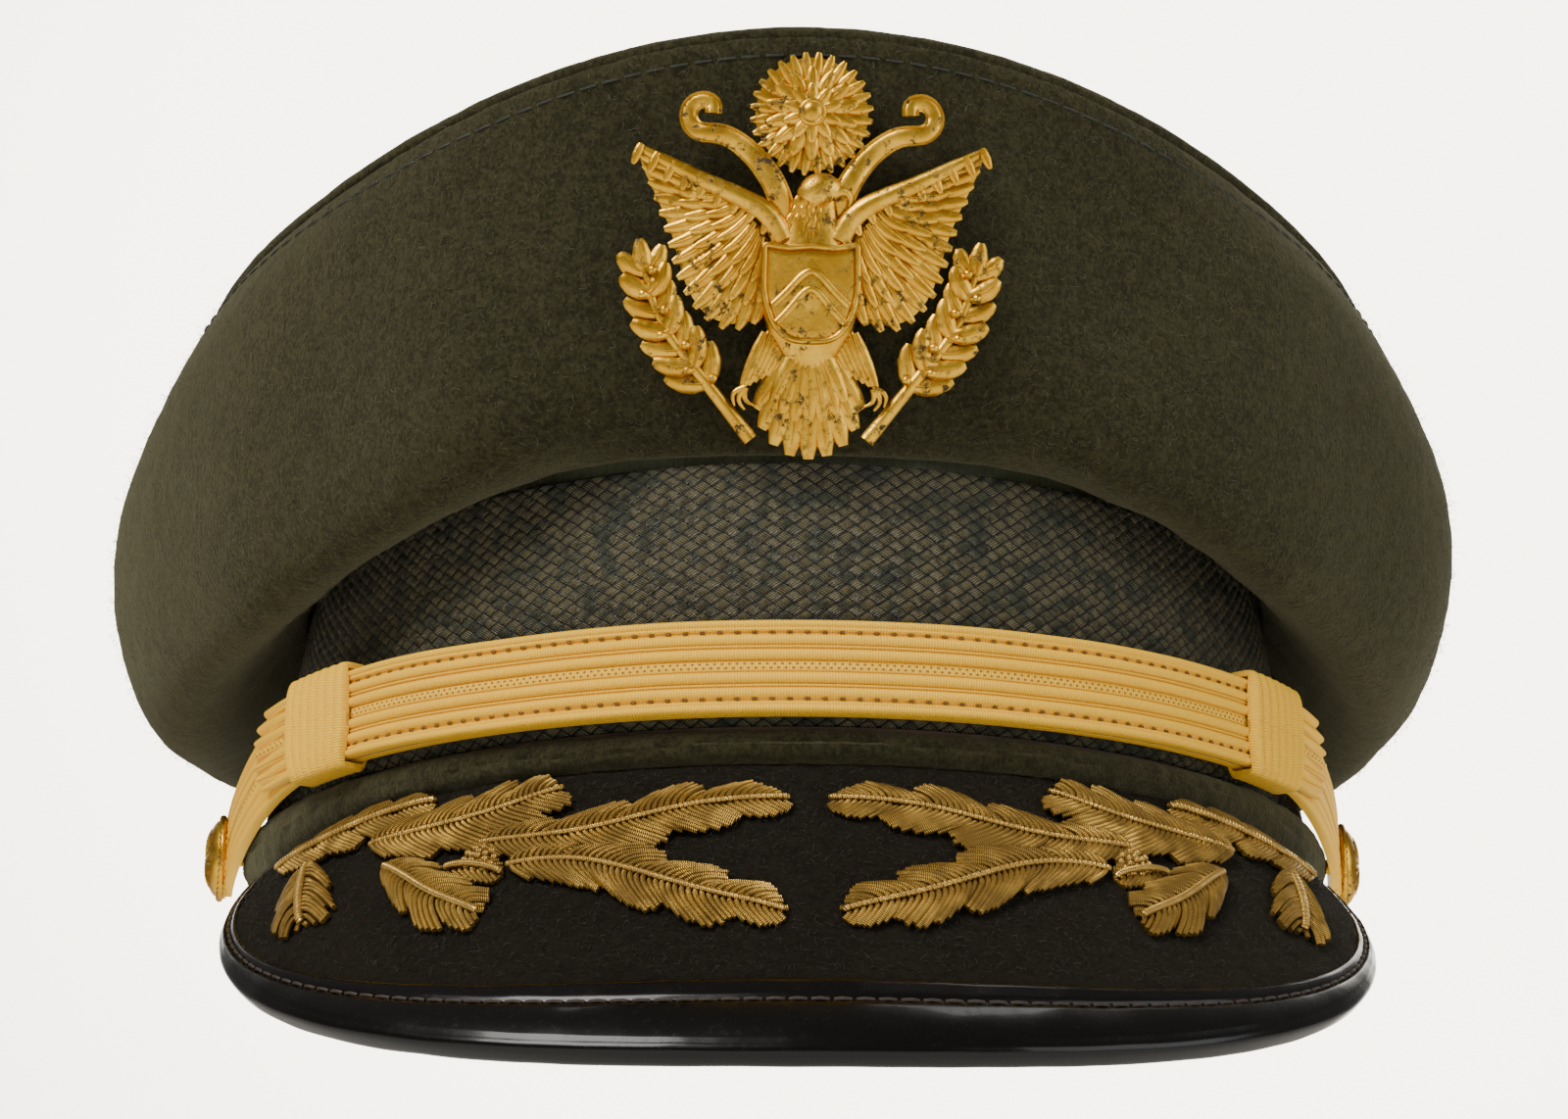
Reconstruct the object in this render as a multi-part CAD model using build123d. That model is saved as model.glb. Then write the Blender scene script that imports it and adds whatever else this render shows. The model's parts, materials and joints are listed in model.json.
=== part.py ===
"""Officer's peaked service cap, built as the sewn and pinned pieces of the real thing.

Frame: millimetres, +Z up, the front of the cap faces -Y and its wearer's left is +X.
The origin is the centre of the head opening, in the plane of the band's lower edge.
Azimuths are degrees from the front: 0 is the front, 90 the +X side, 180 the rear.
"""
import os
from math import cos, exp, hypot, radians, sin, sqrt

from build123d import *

# ---- driving dimensions -------------------------------------------------------------
BAND_TOP = 46.0                # height of the braid band's upper edge
BAND_FOOT = 5.2                # height of the braid's lower edge, above the cloth roll
BAND_LOW, BAND_HIGH = (91.0, 100.0), (84.0, 100.0)  # braid half-widths (X, Y), foot and top
BRAID_T, STIFFENER_T, SWEATBAND_T = 1.2, 1.6, 1.2
LAYER_GAP = 0.05               # air between two sewn layers
SWEATBAND_GAP = 0.35           # the sweatband hangs free of the stiffener
CLOTH_T = 1.6                  # fulled wool cloth
CROWN_SEAM = 112.0             # azimuth of the seams between front and rear panels
SEAM_GAP = 0.2                 # degrees between two crown panels
RIM_HALF, RIM_REAR = (106.5, 122.1), 118.0          # rim oval: X, front Y, rear Y
RIM_SIDE_Z, RIM_FRONT_Z, RIM_FALL = 81.7, 105.7, 0.128
RIM_LIFT_Y = 75.0              # the rim starts to curl up this far in front of the middle
VISOR_HALF = (94.0, 101.0)     # oval along which the visor leaves the band
VISOR_END = 64.0               # azimuth of the visor's corners
VISOR_DEPTH, VISOR_PITCH = 58.0, 54.0
BOARD_T, VISOR_CLOTH_T, VISOR_LINING_T = 1.9, 1.0, 0.8
BINDING_T = 0.45
STRAP_W, STRAP_T = 14.0, 1.5   # gold lace, one layer
STRAP_Z = 12.9
STRAP_R, STRAP_CENTRE_Y = 93.5, -11.5               # front arc of the strap's outer face
STRAP_BEND = 60.5              # direction at which the front arc meets the side arc
TAIL_R = 150.0                 # side arc of the strap
BUTTON_DIR, BUTTON_Z = 80.5, 3.5
SLIDE_DIR, SLIDE_ARC = 53.3, 10.7
SLIDE_H, SLIDE_FACE_T, SLIDE_BACK_T = 16.6, 1.4, 1.0
SLIDE_GAP = 0.3
BUTTON_R, BUTTON_H, POST_R = 7.2, 3.6, 1.3
EYELET_DIR, EYELET_AT = 100.0, 0.50
EYELET_R, EYELET_BORE = 4.0, 1.7
BADGE_LEAN, BADGE_T = 17.5, 1.6
BADGE_OFF = 1.6                # clear of the cloth at the middle of the plate
SUNBURST_Y, SUNBURST_R = 21.3, 9.2
SCREW_R, NUT_R, NUT_T, RUNNING_GAP = 1.6, 6.5, 3.0, 0.06


# ---- curves the whole cap shares ------------------------------------------------------
def oval(azimuth, half, rear=None):
    """Radius at an azimuth of an oval with half-widths (X, Y) and its own rear half-width."""
    c, s = cos(radians(azimuth)), sin(radians(azimuth))
    length = half[1] if c >= 0 or rear is None else rear
    return 1 / sqrt((s / half[0]) ** 2 + (c / length) ** 2)


def front_side_rear(azimuth, front, side, rear, power=2.0):
    """A value that runs smoothly from the front through the sides to the rear."""
    c = cos(radians(azimuth))
    return side + (front - side) * max(c, 0) ** power + (rear - side) * max(-c, 0) ** power


def place(azimuth, r, z):
    """The point at radius r and height z in the upright plane at an azimuth."""
    a = radians(azimuth)
    return Vector(r * sin(a), -r * cos(a), z)


def rim_height(y):
    """Height of the rim: it falls to the rear and curls up at the front."""
    curl = RIM_FRONT_Z - RIM_SIDE_Z - RIM_FALL * RIM_HALF[1]
    ahead = max((-y - RIM_LIFT_Y) / (RIM_HALF[1] - RIM_LIFT_Y), 0)
    return RIM_SIDE_Z - RIM_FALL * y + curl * ahead ** 2


def crown_curve(azimuth):
    """The crown's outer face in the plane (radius, height): band, belly, bulge, rim."""
    rim = oval(azimuth, RIM_HALF, RIM_REAR)
    points = [
        (oval(azimuth, BAND_HIGH), BAND_TOP + 0.6),
        (oval(azimuth, (105.5, 103.0), 112.0), front_side_rear(azimuth, 52, 24.3, 28.9, 3)),
        (oval(azimuth, (118.5, 115.7), 126.2), front_side_rear(azimuth, 88, 60, 49.8)),
        (oval(azimuth, (112.8, 119.5), 123.2), front_side_rear(azimuth, 99, 74.4, 61.8)),
        (rim, rim_height(-rim * cos(radians(azimuth)))),
    ]
    return Spline(*points)


def crown_point(azimuth, at, depth=0.0):
    """Radius, height and outward direction of the crown at a share of its curve."""
    curve = crown_curve(azimuth)
    p, d = curve @ at, curve % at
    return p.X - depth * d.Y, p.Y + depth * d.X, Vector(d.Y, -d.X)


# ---- makers ---------------------------------------------------------------------------
def steps(start, stop, count):
    """Evenly spaced values from start to stop."""
    return [start + (stop - start) * i / (count - 1) for i in range(count)]


def sweep_sections(section, azimuths):
    """A solid through closed outlines, each in the upright plane of its azimuth."""
    return Solid.make_loft([section(a) for a in azimuths])


def closed_ring(section, count=25):
    """A ring all the way round, made of two halves."""
    return Part() + [sweep_sections(section, steps(0, 180, count)),
                     sweep_sections(section, steps(180, 360, count))]


def outline(azimuth, points):
    """A closed straight-sided outline from (radius, height) corners."""
    return Wire.make_polygon([place(azimuth, r, z) for r, z in points], close=True)


def two_curves(azimuth, outer, inner):
    """A closed outline between an outer and an inner curve of (radius, height) points."""
    first = [place(azimuth, r, z) for r, z in outer]
    second = [place(azimuth, r, z) for r, z in reversed(inner)]
    return Wire([Edge.make_spline(first), Edge.make_line(first[-1], second[0]),
                 Edge.make_spline(second), Edge.make_line(second[-1], first[0])])


def round_outline(azimuth, r, z, radius):
    """An eight-sided cord section in the upright plane at an azimuth."""
    corners = [radians(45 * i) for i in range(8)]
    return outline(azimuth, [(r + radius * cos(c), z + radius * sin(c)) for c in corners])


def band_shell(inset, thickness, bottom, top):
    """A tapering oval band between two heights, inset from the braid's outer face."""
    def oval_face(height, depth):
        share = (height - BAND_FOOT) / (BAND_TOP - BAND_FOOT)
        half = [low + (high - low) * share - depth for low, high in zip(BAND_LOW, BAND_HIGH)]
        return Pos(0, 0, height) * Ellipse(*half)
    outer = loft([oval_face(bottom, inset), oval_face(top, inset)])
    inner = loft([oval_face(bottom, inset + thickness), oval_face(top, inset + thickness)])
    return outer - inner


def rod(centre, direction, radius, back, front):
    """A round rod about a line, from `back` behind its centre to `front` ahead of it."""
    start = centre - direction * back
    return Solid.make_cylinder(radius, back + front, Plane(start, z_dir=direction))


def tube(centre, direction, radius, bore, back, front):
    """A round tube about a line."""
    return rod(centre, direction, radius, back, front) - rod(
        centre, direction, bore, back + 1, front + 1)


parts = {}

# ---- places of the fittings that pass through the layers -------------------------------
def strap_point(direction, depth=0.0, height=STRAP_Z):
    """A point of the strap's outer face (or deeper), on the +X side."""
    a = radians(direction)
    if direction <= STRAP_BEND:
        radius, cx, cy = STRAP_R, 0.0, STRAP_CENTRE_Y
    else:
        bend = radians(STRAP_BEND)
        radius = TAIL_R
        cx = (STRAP_R - TAIL_R) * sin(bend)
        cy = STRAP_CENTRE_Y - (STRAP_R - TAIL_R) * cos(bend)
    return Vector(cx + (radius - depth) * sin(a), cy - (radius - depth) * cos(a), height)


def mirrored(shape, side):
    """The +X shape itself, or its twin on the -X side."""
    return shape if side > 0 else shape.mirror(Plane.YZ)


SIDES = {"left": -1, "right": 1}
badge_r, badge_z, _ = crown_point(0, 0.47)
BADGE_N = Vector(0, -cos(radians(BADGE_LEAN)), -sin(radians(BADGE_LEAN)))
BADGE_AT = Vector(0, -badge_r, badge_z) + BADGE_N * BADGE_OFF
BADGE_PLANE = Plane(BADGE_AT, x_dir=(1, 0, 0), z_dir=BADGE_N)
screw_hole = rod(BADGE_AT, BADGE_N, SCREW_R + 0.5, 12, 5)
button_dir = Vector(sin(radians(BUTTON_DIR)), -cos(radians(BUTTON_DIR)), 0)
button_at = strap_point(BUTTON_DIR, 0, BUTTON_Z)
eyelet_r, eyelet_z, eyelet_n = crown_point(EYELET_DIR, EYELET_AT)
eyelet_at = place(EYELET_DIR, eyelet_r, eyelet_z)
eyelet_dir = place(EYELET_DIR, eyelet_n.X, eyelet_n.Y)


# ---- crown ----------------------------------------------------------------------------
def crown_section(low, high, skin, thickness):
    """Section maker for a layer of the crown, `skin` deep under its outer face."""
    def section(azimuth):
        curve = crown_curve(azimuth)
        layers = []
        for depth in (skin, skin + thickness):
            pairs = [(curve @ t, curve % t) for t in steps(low, high, 11)]
            layers.append([(p.X - depth * d.Y, p.Y + depth * d.X) for p, d in pairs])
        return two_curves(azimuth, *layers)
    return section


cloth = crown_section(0.0, 0.985, 0.0, CLOTH_T)
front_panel = sweep_sections(cloth, steps(-CROWN_SEAM, CROWN_SEAM, 23)) - screw_hole
for side in SIDES.values():
    front_panel -= mirrored(rod(eyelet_at, eyelet_dir, 2.6, 6, 6), side)
parts["crown_front_panel"] = front_panel
rear = sweep_sections(cloth, steps(CROWN_SEAM + SEAM_GAP, 180 - SEAM_GAP / 2, 9))
parts["crown_rear_right"] = rear
parts["crown_rear_left"] = mirrored(rear, -1)


def rim_sheet(inset, drop, thickness):
    """A sheet that follows the rim's fall to the rear, cut to an oval inside the rim."""
    half_x, front = RIM_HALF[0] - inset, RIM_HALF[1] - inset
    back = RIM_REAR - inset
    ys = steps(-front - 2, back + 2, 13)
    top = [Vector(0, y, rim_height(y) - drop) for y in ys]
    low = [p - Vector(0, 0, thickness) for p in reversed(top)]
    side = Face(Wire([Edge.make_spline(top), Edge.make_line(top[-1], low[0]),
                      Edge.make_spline(low), Edge.make_line(low[-1], top[0])]))
    slab = extrude(side, amount=half_x + 2, dir=(1, 0, 0), both=True)
    half_plane = Rectangle(4 * half_x, 4 * half_x, align=(Align.CENTER, Align.MIN))
    plan = (Ellipse(half_x, back) & half_plane) + (Ellipse(half_x, front) - half_plane)
    return slab & extrude(plan, amount=150)


def rim_ring(inset, lift, radius):
    """A round ring that follows the rim."""
    def section(azimuth):
        r = oval(azimuth, RIM_HALF, RIM_REAR) - inset
        z = rim_height(-r * cos(radians(azimuth)))
        return round_outline(azimuth, r, z + lift, radius)
    return closed_ring(section)


parts["crown_top_panel"] = rim_sheet(2.7, -1.9, CLOTH_T)
parts["rim_welt"] = rim_ring(1.0, 1.2, 1.1)
parts["rim_grommet"] = rim_ring(5.2, -2.6, 1.2)
canvas = crown_section(0.16, 0.88, CLOTH_T + 0.7, 0.9)
parts["front_interlining"] = sweep_sections(canvas, steps(-48, 48, 11)) - screw_hole
stay = crown_section(0.18, 0.86, CLOTH_T + 2.0, 0.7)
parts["front_stay"] = sweep_sections(stay, steps(-3.2, 3.2, 3)) - screw_hole


# ---- lining ---------------------------------------------------------------------------
def lining_section(azimuth):
    """The side lining: from inside the band up to just under the top lining."""
    foot = oval(azimuth, (79.3, 95.2))
    head = oval(azimuth, (90, 100), 98)
    top = rim_height(-head * cos(radians(azimuth))) - 9
    middle = (BAND_TOP + top) / 2
    outer = [(foot, 38), (foot + 0.5, 46), ((foot + head) / 2 + 2, middle), (head, top)]
    inner = [(r - 0.5, z) for r, z in outer]
    return two_curves(azimuth, outer, inner)


parts["lining_side"] = closed_ring(lining_section)
parts["lining_top"] = rim_sheet(17.5, 7.9, 0.5)
shield = Rot(0, 0, 45) * Rectangle(64, 64)
shield_low = rim_sheet(30, 8.6, 0.4)
parts["size_shield"] = shield_low & extrude(shield, amount=150)

# ---- band -----------------------------------------------------------------------------
STIFFENER_IN = BRAID_T + LAYER_GAP
SWEATBAND_IN = STIFFENER_IN + STIFFENER_T + SWEATBAND_GAP


def visor_root(azimuth):
    """Radius and height of the line where the visor leaves the band."""
    share = abs(azimuth) / VISOR_END
    return oval(azimuth, VISOR_HALF), -1.2 - 5.0 * share ** 4


def welt_section(azimuth):
    """The rolled cloth under the braid: flat at the back, rounded outside."""
    off = azimuth if azimuth <= 180 else 360 - azimuth
    dip = visor_root(off)[1] if off < VISOR_END else -1.2 - 5 * exp(-((off - VISOR_END) / 16) ** 2)
    low, top = dip + 0.6, 2.2
    back = oval(azimuth, (91.0, 98.9))
    bulge = [(back, low), (back + 2.4, low + 0.5), (back + 2.7, (low + top) / 2),
             (back + 2.0, top - 0.4), (back, top)]
    points = [place(azimuth, r, z) for r, z in bulge]
    return Wire([Edge.make_spline(points), Edge.make_line(points[-1], points[0])])


anchor_holes = [mirrored(rod(button_at, button_dir, 3.1, 14, 1), s) for s in SIDES.values()]
parts["base_welt"] = closed_ring(welt_section, 31) - anchor_holes
parts["braid_band"] = band_shell(0, BRAID_T, BAND_FOOT, BAND_TOP) - anchor_holes
parts["band_stiffener"] = band_shell(STIFFENER_IN, STIFFENER_T, -1.0, BAND_TOP) - anchor_holes
parts["sweatband"] = band_shell(SWEATBAND_IN, SWEATBAND_T, -1.6, 36)
reed_half = (BAND_LOW[0] + 0.9 - SWEATBAND_IN - 0.6, BAND_LOW[1] - SWEATBAND_IN - 0.6)
parts["sweatband_reed"] = closed_ring(
    lambda azimuth: round_outline(azimuth, oval(azimuth, reed_half), -3.0, 1.3))
bow_y = BAND_LOW[1] - SWEATBAND_IN - SWEATBAND_T - 1.5
bow = Polyline((0, 1), (8, 4), (8.5, -3.5), (0, -1), (-8.5, -3.5), (-8, 4), close=True)
parts["sweatband_bow"] = Pos(0, bow_y, 24) * extrude(Plane.XZ * make_face(bow), amount=1.1)


# ---- visor ----------------------------------------------------------------------------
def visor_length(azimuth):
    """Distance down the slope from the visor's root to its edge."""
    return VISOR_DEPTH * max(1 - (abs(azimuth) / VISOR_END) ** 3, 0) ** 1.12


def binding_width(azimuth):
    """How far the leather binding reaches in from the edge."""
    return 4.6 + 9.7 * max(cos(radians(90 * min(abs(azimuth) / 56, 1))), 0) ** 1.5


def visor_point(azimuth, down, lift):
    """(radius, height) at a distance down the slope and a height above its face."""
    r, z = visor_root(azimuth)
    pitch = radians(VISOR_PITCH - 8 * (azimuth / VISOR_END) ** 2)
    return (r + down * cos(pitch) + lift * sin(pitch),
            z - down * sin(pitch) + lift * cos(pitch))


def visor_layer(start, stop, top, thickness, limit, count=25):
    """A layer of the visor between two distances down the slope, given as functions."""
    def section(azimuth):
        first, last = start(azimuth), stop(azimuth)
        return outline(azimuth, [visor_point(azimuth, first, top),
                                 visor_point(azimuth, last, top),
                                 visor_point(azimuth, last, top - thickness),
                                 visor_point(azimuth, first, top - thickness)])
    return sweep_sections(section, steps(-limit, limit, count))


BOARD_TOP = -VISOR_CLOTH_T - LAYER_GAP
LINING_TOP = BOARD_TOP - BOARD_T - LAYER_GAP
BINDING_LOW = LINING_TOP - VISOR_LINING_T - BINDING_T
parts["visor_board"] = visor_layer(
    lambda a: 0, lambda a: visor_length(a) - 1.6, BOARD_TOP, BOARD_T, 61)
parts["visor_top_cloth"] = visor_layer(
    lambda a: 0, lambda a: visor_length(a) - binding_width(a) - 0.1, 0, VISOR_CLOTH_T, 58)
parts["visor_lining"] = visor_layer(
    lambda a: 0, lambda a: visor_length(a) - binding_width(a) - 0.1,
    LINING_TOP, VISOR_LINING_T, 58)


def binding_section(azimuth):
    """The leather wrapped round the visor's edge: a hook in section."""
    edge = visor_length(azimuth)
    inner = edge - min(binding_width(azimuth), edge - 0.3)
    board = edge - 1.4
    corners = [(inner, BINDING_T), (edge - 1.0, BINDING_T)]
    tip = (edge + 0.6, (BINDING_T + BINDING_LOW) / 2)
    back = [(edge - 1.0, BINDING_LOW), (inner, BINDING_LOW), (inner, LINING_TOP + 0.02),
            (board, LINING_TOP + 0.02), (board, BOARD_TOP + 0.02), (inner, BOARD_TOP + 0.02)]
    at = [place(azimuth, *visor_point(azimuth, s, n)) for s, n in corners + [tip] + back]
    edges = [Edge.make_line(at[0], at[1]), Edge.make_three_point_arc(at[1], at[2], at[3])]
    edges += [Edge.make_line(a, b) for a, b in zip(at[3:], at[4:] + at[:1])]
    return Wire(edges)


parts["visor_binding"] = sweep_sections(binding_section, steps(-60, 60, 31))

# Bullion oak leaves: each is a pad that follows the visor's face.  A leaf is given by its
# base, its tip and its half-width, in the visor's middle plane (X, distance up the slope).
visor_plane = Plane((0, -118, -24), x_dir=(1, 0, 0),
                    z_dir=(0, -sin(radians(VISOR_PITCH)), cos(radians(VISOR_PITCH))))
LEAVES = {
    "leaf_upper": ((2.5, 19.5), (41.0, 20.5), 4.8),
    "leaf_lower": ((3.5, -4.0), (37.0, 13.0), 5.6),
    "leaf_outer": ((30.0, 27.0), (76.0, 41.0), 5.0),
    "leaf_side": ((40.5, 2.5), (60.0, 23.5), 5.8),
    "leaf_end": ((73.5, 20.0), (68.0, 36.0), 4.6),
}
embroidery_layer = visor_layer(lambda a: 1.2, lambda a: visor_length(a) - 6, 1.6, 1.4, 56)


def leaf_prism(tip, base, half_width):
    """A lens-shaped prism through the visor, from tip to base."""
    (x0, y0), (x1, y1) = tip, base
    length = hypot(x1 - x0, y1 - y0)
    ox, oy = -(y1 - y0) / length * half_width, (x1 - x0) / length * half_width
    mx, my = (x0 + x1) / 2, (y0 + y1) / 2
    lens = (ThreePointArc(tip, (mx + ox, my + oy), base)
            + ThreePointArc(base, (mx - ox, my - oy), tip))
    return extrude(visor_plane * make_face(lens), amount=45, both=True)


earlier = []
for name, (tip, base, half_width) in LEAVES.items():
    prism = leaf_prism(tip, base, half_width)
    pad = embroidery_layer & prism
    for other in earlier:
        pad = pad - other
    earlier.append(leaf_prism(tip, base, half_width + 0.2))
    for side_name, side in SIDES.items():
        parts[f"{name}_{side_name}"] = mirrored(pad, side)


# ---- chin strap -----------------------------------------------------------------------
def lace(start, stop, depth, thickness, bottom, top):
    """A stretch of the strap between two directions, as an arc-shaped wall."""
    corners = [strap_point(start, depth, 0), strap_point(stop, depth, 0),
               strap_point(stop, depth + thickness, 0), strap_point(start, depth + thickness, 0)]
    middle = (start + stop) / 2
    outer, inner = strap_point(middle, depth, 0), strap_point(middle, depth + thickness, 0)
    plan = Wire([Edge.make_three_point_arc(corners[0], outer, corners[1]),
                 Edge.make_line(corners[1], corners[2]),
                 Edge.make_three_point_arc(corners[2], inner, corners[3]),
                 Edge.make_line(corners[3], corners[0])])
    return Pos(0, 0, bottom) * extrude(Face(plan), amount=top - bottom, dir=(0, 0, 1))


STRAP_LOW, STRAP_HIGH = STRAP_Z - STRAP_W / 2, STRAP_Z + STRAP_W / 2
UNDER = STRAP_T + LAYER_GAP
TAB_END = 66.0
tab_start, tab_tip = strap_point(STRAP_BEND), strap_point(TAB_END)
tab_outline = make_face(Polyline(
    (tab_start.Y - 9, STRAP_LOW), (tab_start.Y + 2, STRAP_LOW), (tab_start.Y + 6, STRAP_Z - 5),
    (tab_tip.Y, STRAP_Z), (tab_start.Y + 6, STRAP_Z + 5), (tab_start.Y + 2, STRAP_HIGH),
    (tab_start.Y - 9, STRAP_HIGH), close=True))
tail_start, tail_end = strap_point(STRAP_BEND), button_at
tail_outline = make_face(Polyline(
    (tail_start.Y - 5, STRAP_LOW), (tail_start.Y + 4, STRAP_LOW - 0.6),
    (tail_end.Y, BUTTON_Z - 7.6), (tail_end.Y + 6.5, BUTTON_Z - 5), (tail_end.Y + 8, BUTTON_Z),
    (tail_end.Y + 6.5, BUTTON_Z + 5), (tail_end.Y, BUTTON_Z + 7.6),
    (tail_start.Y + 4, STRAP_HIGH - 0.6), (tail_start.Y - 5, STRAP_HIGH), close=True))


def cut_to(face, wall):
    """The part of a strap wall inside an outline drawn as (Y, Z)."""
    return wall & extrude(Plane.YZ * face, amount=140)


face_parts = [lace(-STRAP_BEND, STRAP_BEND, 0, STRAP_T, STRAP_LOW, STRAP_HIGH)]
under_parts = [lace(-STRAP_BEND, STRAP_BEND, UNDER, STRAP_T, STRAP_LOW, STRAP_HIGH)]
tab = cut_to(tab_outline, lace(STRAP_BEND, TAB_END + 1, 0, STRAP_T, -10, 30))
tail = cut_to(tail_outline, lace(STRAP_BEND, 86, UNDER, STRAP_T, -20, 40))
tail -= rod(button_at, button_dir, POST_R + 1.0, 6, 2)
for side in SIDES.values():
    face_parts.append(mirrored(tab, side))
    under_parts.append(mirrored(tail, side))
parts["strap_face"] = Part() + face_parts
parts["strap_under"] = Part() + under_parts

slide_low, slide_high = STRAP_Z - SLIDE_H / 2, STRAP_Z + SLIDE_H / 2
slide_from, slide_to = SLIDE_DIR - SLIDE_ARC / 2, SLIDE_DIR + SLIDE_ARC / 2
both_layers = UNDER + STRAP_T
slide = lace(slide_from, slide_to, -SLIDE_GAP - SLIDE_FACE_T,
             both_layers + 2 * SLIDE_GAP + SLIDE_FACE_T + SLIDE_BACK_T, slide_low, slide_high)
slide -= lace(slide_from - 1, slide_to + 1, -SLIDE_GAP, both_layers + 2 * SLIDE_GAP,
              STRAP_LOW - SLIDE_GAP, STRAP_HIGH + SLIDE_GAP)

# ---- side buttons: a domed shell on a post that turns in an anchor in the stiffener -----
dome_from = 0.4 - UNDER                       # the dome's flat back, clear of the tail
button_plane = Plane(button_at + button_dir * (dome_from + 1.1), z_dir=button_dir)
dome = Part() + [rod(button_at, button_dir, BUTTON_R, -dome_from, dome_from + 1.1),
                 Solid.make_cone(BUTTON_R, BUTTON_R * 0.45, BUTTON_H - 1.1, button_plane)]
wall_at = oval(BUTTON_DIR + 3, (BAND_LOW[0], BAND_LOW[1]))   # braid radius near the button
root_gap = (button_at - Vector(0, 0, BUTTON_Z)).length - wall_at
post = rod(button_at, button_dir, POST_R, root_gap + STIFFENER_IN + STIFFENER_T - 0.2, dome_from)
anchor = tube(button_at, button_dir, 3.0, POST_R + RUNNING_GAP,
              root_gap + STIFFENER_IN + STIFFENER_T - 0.8, -root_gap + 0.2)

# ---- vent eyelets ------------------------------------------------------------------------
flange = tube(eyelet_at, eyelet_dir, EYELET_R, EYELET_BORE, -0.35, 1.0)
barrel = tube(eyelet_at, eyelet_dir, 2.4, EYELET_BORE, CLOTH_T + 1.0, 0.4)
eyelet = Part() + [flange, barrel]
washer = tube(eyelet_at, eyelet_dir, EYELET_R + 0.6, 2.45, CLOTH_T + 0.95, -CLOTH_T - 0.45)

for side_name, side in SIDES.items():
    parts[f"strap_slide_{side_name}"] = mirrored(slide, side)
    parts[f"button_dome_{side_name}"] = mirrored(dome, side)
    parts[f"button_post_{side_name}"] = mirrored(post, side)
    parts[f"button_anchor_{side_name}"] = mirrored(anchor, side)
    parts[f"vent_eyelet_{side_name}"] = mirrored(eyelet, side)
    parts[f"vent_washer_{side_name}"] = mirrored(washer, side)


# ---- badge: a struck bird with spread wings, a plain shield, a sunburst and two sprays ---
def plate(points, bottom, top, both_sides=True):
    """A smooth outline in the badge's plane, raised between two heights, and its twin."""
    shape = extrude(make_face(Spline(*points, periodic=True)), amount=top - bottom)
    shape = Pos(0, 0, bottom) * shape
    return Part() + ([shape, shape.mirror(Plane.YZ)] if both_sides else [shape])


wing = [(3.5, 0), (8.6, 7.4), (17, 11.5), (26, 16.1), (20.6, 4), (19.4, -2.7), (16.3, -7.9),
        (11.7, -10.7), (7, -8.7)]
spray = [(5, -20), (9, -27), (14, -22.5), (20, -18.5), (25.5, -15), (28.5, -8.7), (26.5, -3),
         (25, 0.6), (21.5, -5), (19, -11), (12, -15)]
scroll = [(3.5, 4), (4.5, 10), (8.5, 16.5), (13.8, 19.8), (16.2, 23.8), (18.2, 21), (18.4, 17.4),
          (13, 16), (9, 12)]
tail_fan = [(-4, -12), (-9.2, -22), (-5.5, -28), (0, -30), (5.5, -28), (9.2, -22), (4, -12)]
body = [(-4.5, -2), (-6.5, -8), (-9.5, -19), (-4, -16), (0, -17), (4, -16), (9.5, -19), (6.5, -8),
        (4.5, -2), (3.4, 5), (5.6, 9), (1.4, 11.6), (-2.4, 10), (-3.4, 5)]
bird = Part() + [plate(wing, 0, BADGE_T), plate(spray, 0.1, BADGE_T), plate(scroll, 0, 1.2),
                 plate(tail_fan, 0, BADGE_T, False), plate(body, 0, BADGE_T + 0.6, False)]
rosette = Pos(0, SUNBURST_Y, -1) * extrude(Circle(SUNBURST_R + 0.1), amount=6)
parts["badge_bird"] = BADGE_PLANE * (bird - rosette)
shield_line = (Polyline((7.2, 1.2), (-7.2, 1.2), (-7.2, -5.5)) + ThreePointArc(
    (-7.2, -5.5), (-4.8, -11), (0, -13.1)) + ThreePointArc((0, -13.1), (4.8, -11), (7.2, -5.5))
    + Line((7.2, -5.5), (7.2, 1.2)))
parts["badge_shield"] = BADGE_PLANE * Pos(0, 0, BADGE_T + 0.65) * extrude(
    make_face(shield_line), amount=1.0)
parts["badge_sunburst"] = BADGE_PLANE * Pos(0, SUNBURST_Y, 0) * extrude(
    Circle(SUNBURST_R), amount=1.9)
stay_back = CLOTH_T + 2.0 + 0.7 + BADGE_OFF + 0.6
parts["badge_screw"] = rod(BADGE_AT, BADGE_N, SCREW_R, stay_back + NUT_T + 1.5, 0)
parts["badge_washer"] = tube(BADGE_AT, BADGE_N, NUT_R + 1.0, SCREW_R + 0.2, stay_back + 0.8,
                             -stay_back)
nut = tube(BADGE_AT, BADGE_N, NUT_R, SCREW_R + RUNNING_GAP, stay_back + 1.1 + NUT_T,
           -stay_back - 1.1)
flutes = [rod(BADGE_AT + (BADGE_PLANE.x_dir * cos(radians(a)) + BADGE_PLANE.y_dir
                          * sin(radians(a))) * (NUT_R + 0.5), BADGE_N, 1.3, 30, 0)
          for a in range(0, 360, 36)]
parts["badge_nut"] = nut - flutes

os.makedirs("parts", exist_ok=True)
for name, shape in parts.items():
    export_step(shape, f"parts/{name}.step")
print(len(parts), "parts")
print("button", button_at, "badge", BADGE_AT, "eyelet", eyelet_at)
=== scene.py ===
"""Looks of an officer's peaked service cap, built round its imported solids.

Lengths in this file are millimetres until a mesh is made; Blender's own units are metres.
The cap faces -Y, +Z is up, and azimuths are degrees from the front, positive towards +X.
"""
import json
import logging
import math
from dataclasses import dataclass, field
from enum import Enum
from typing import Callable, Optional, Sequence

import bmesh
import bpy
import numpy as np
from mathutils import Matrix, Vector, noise

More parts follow.
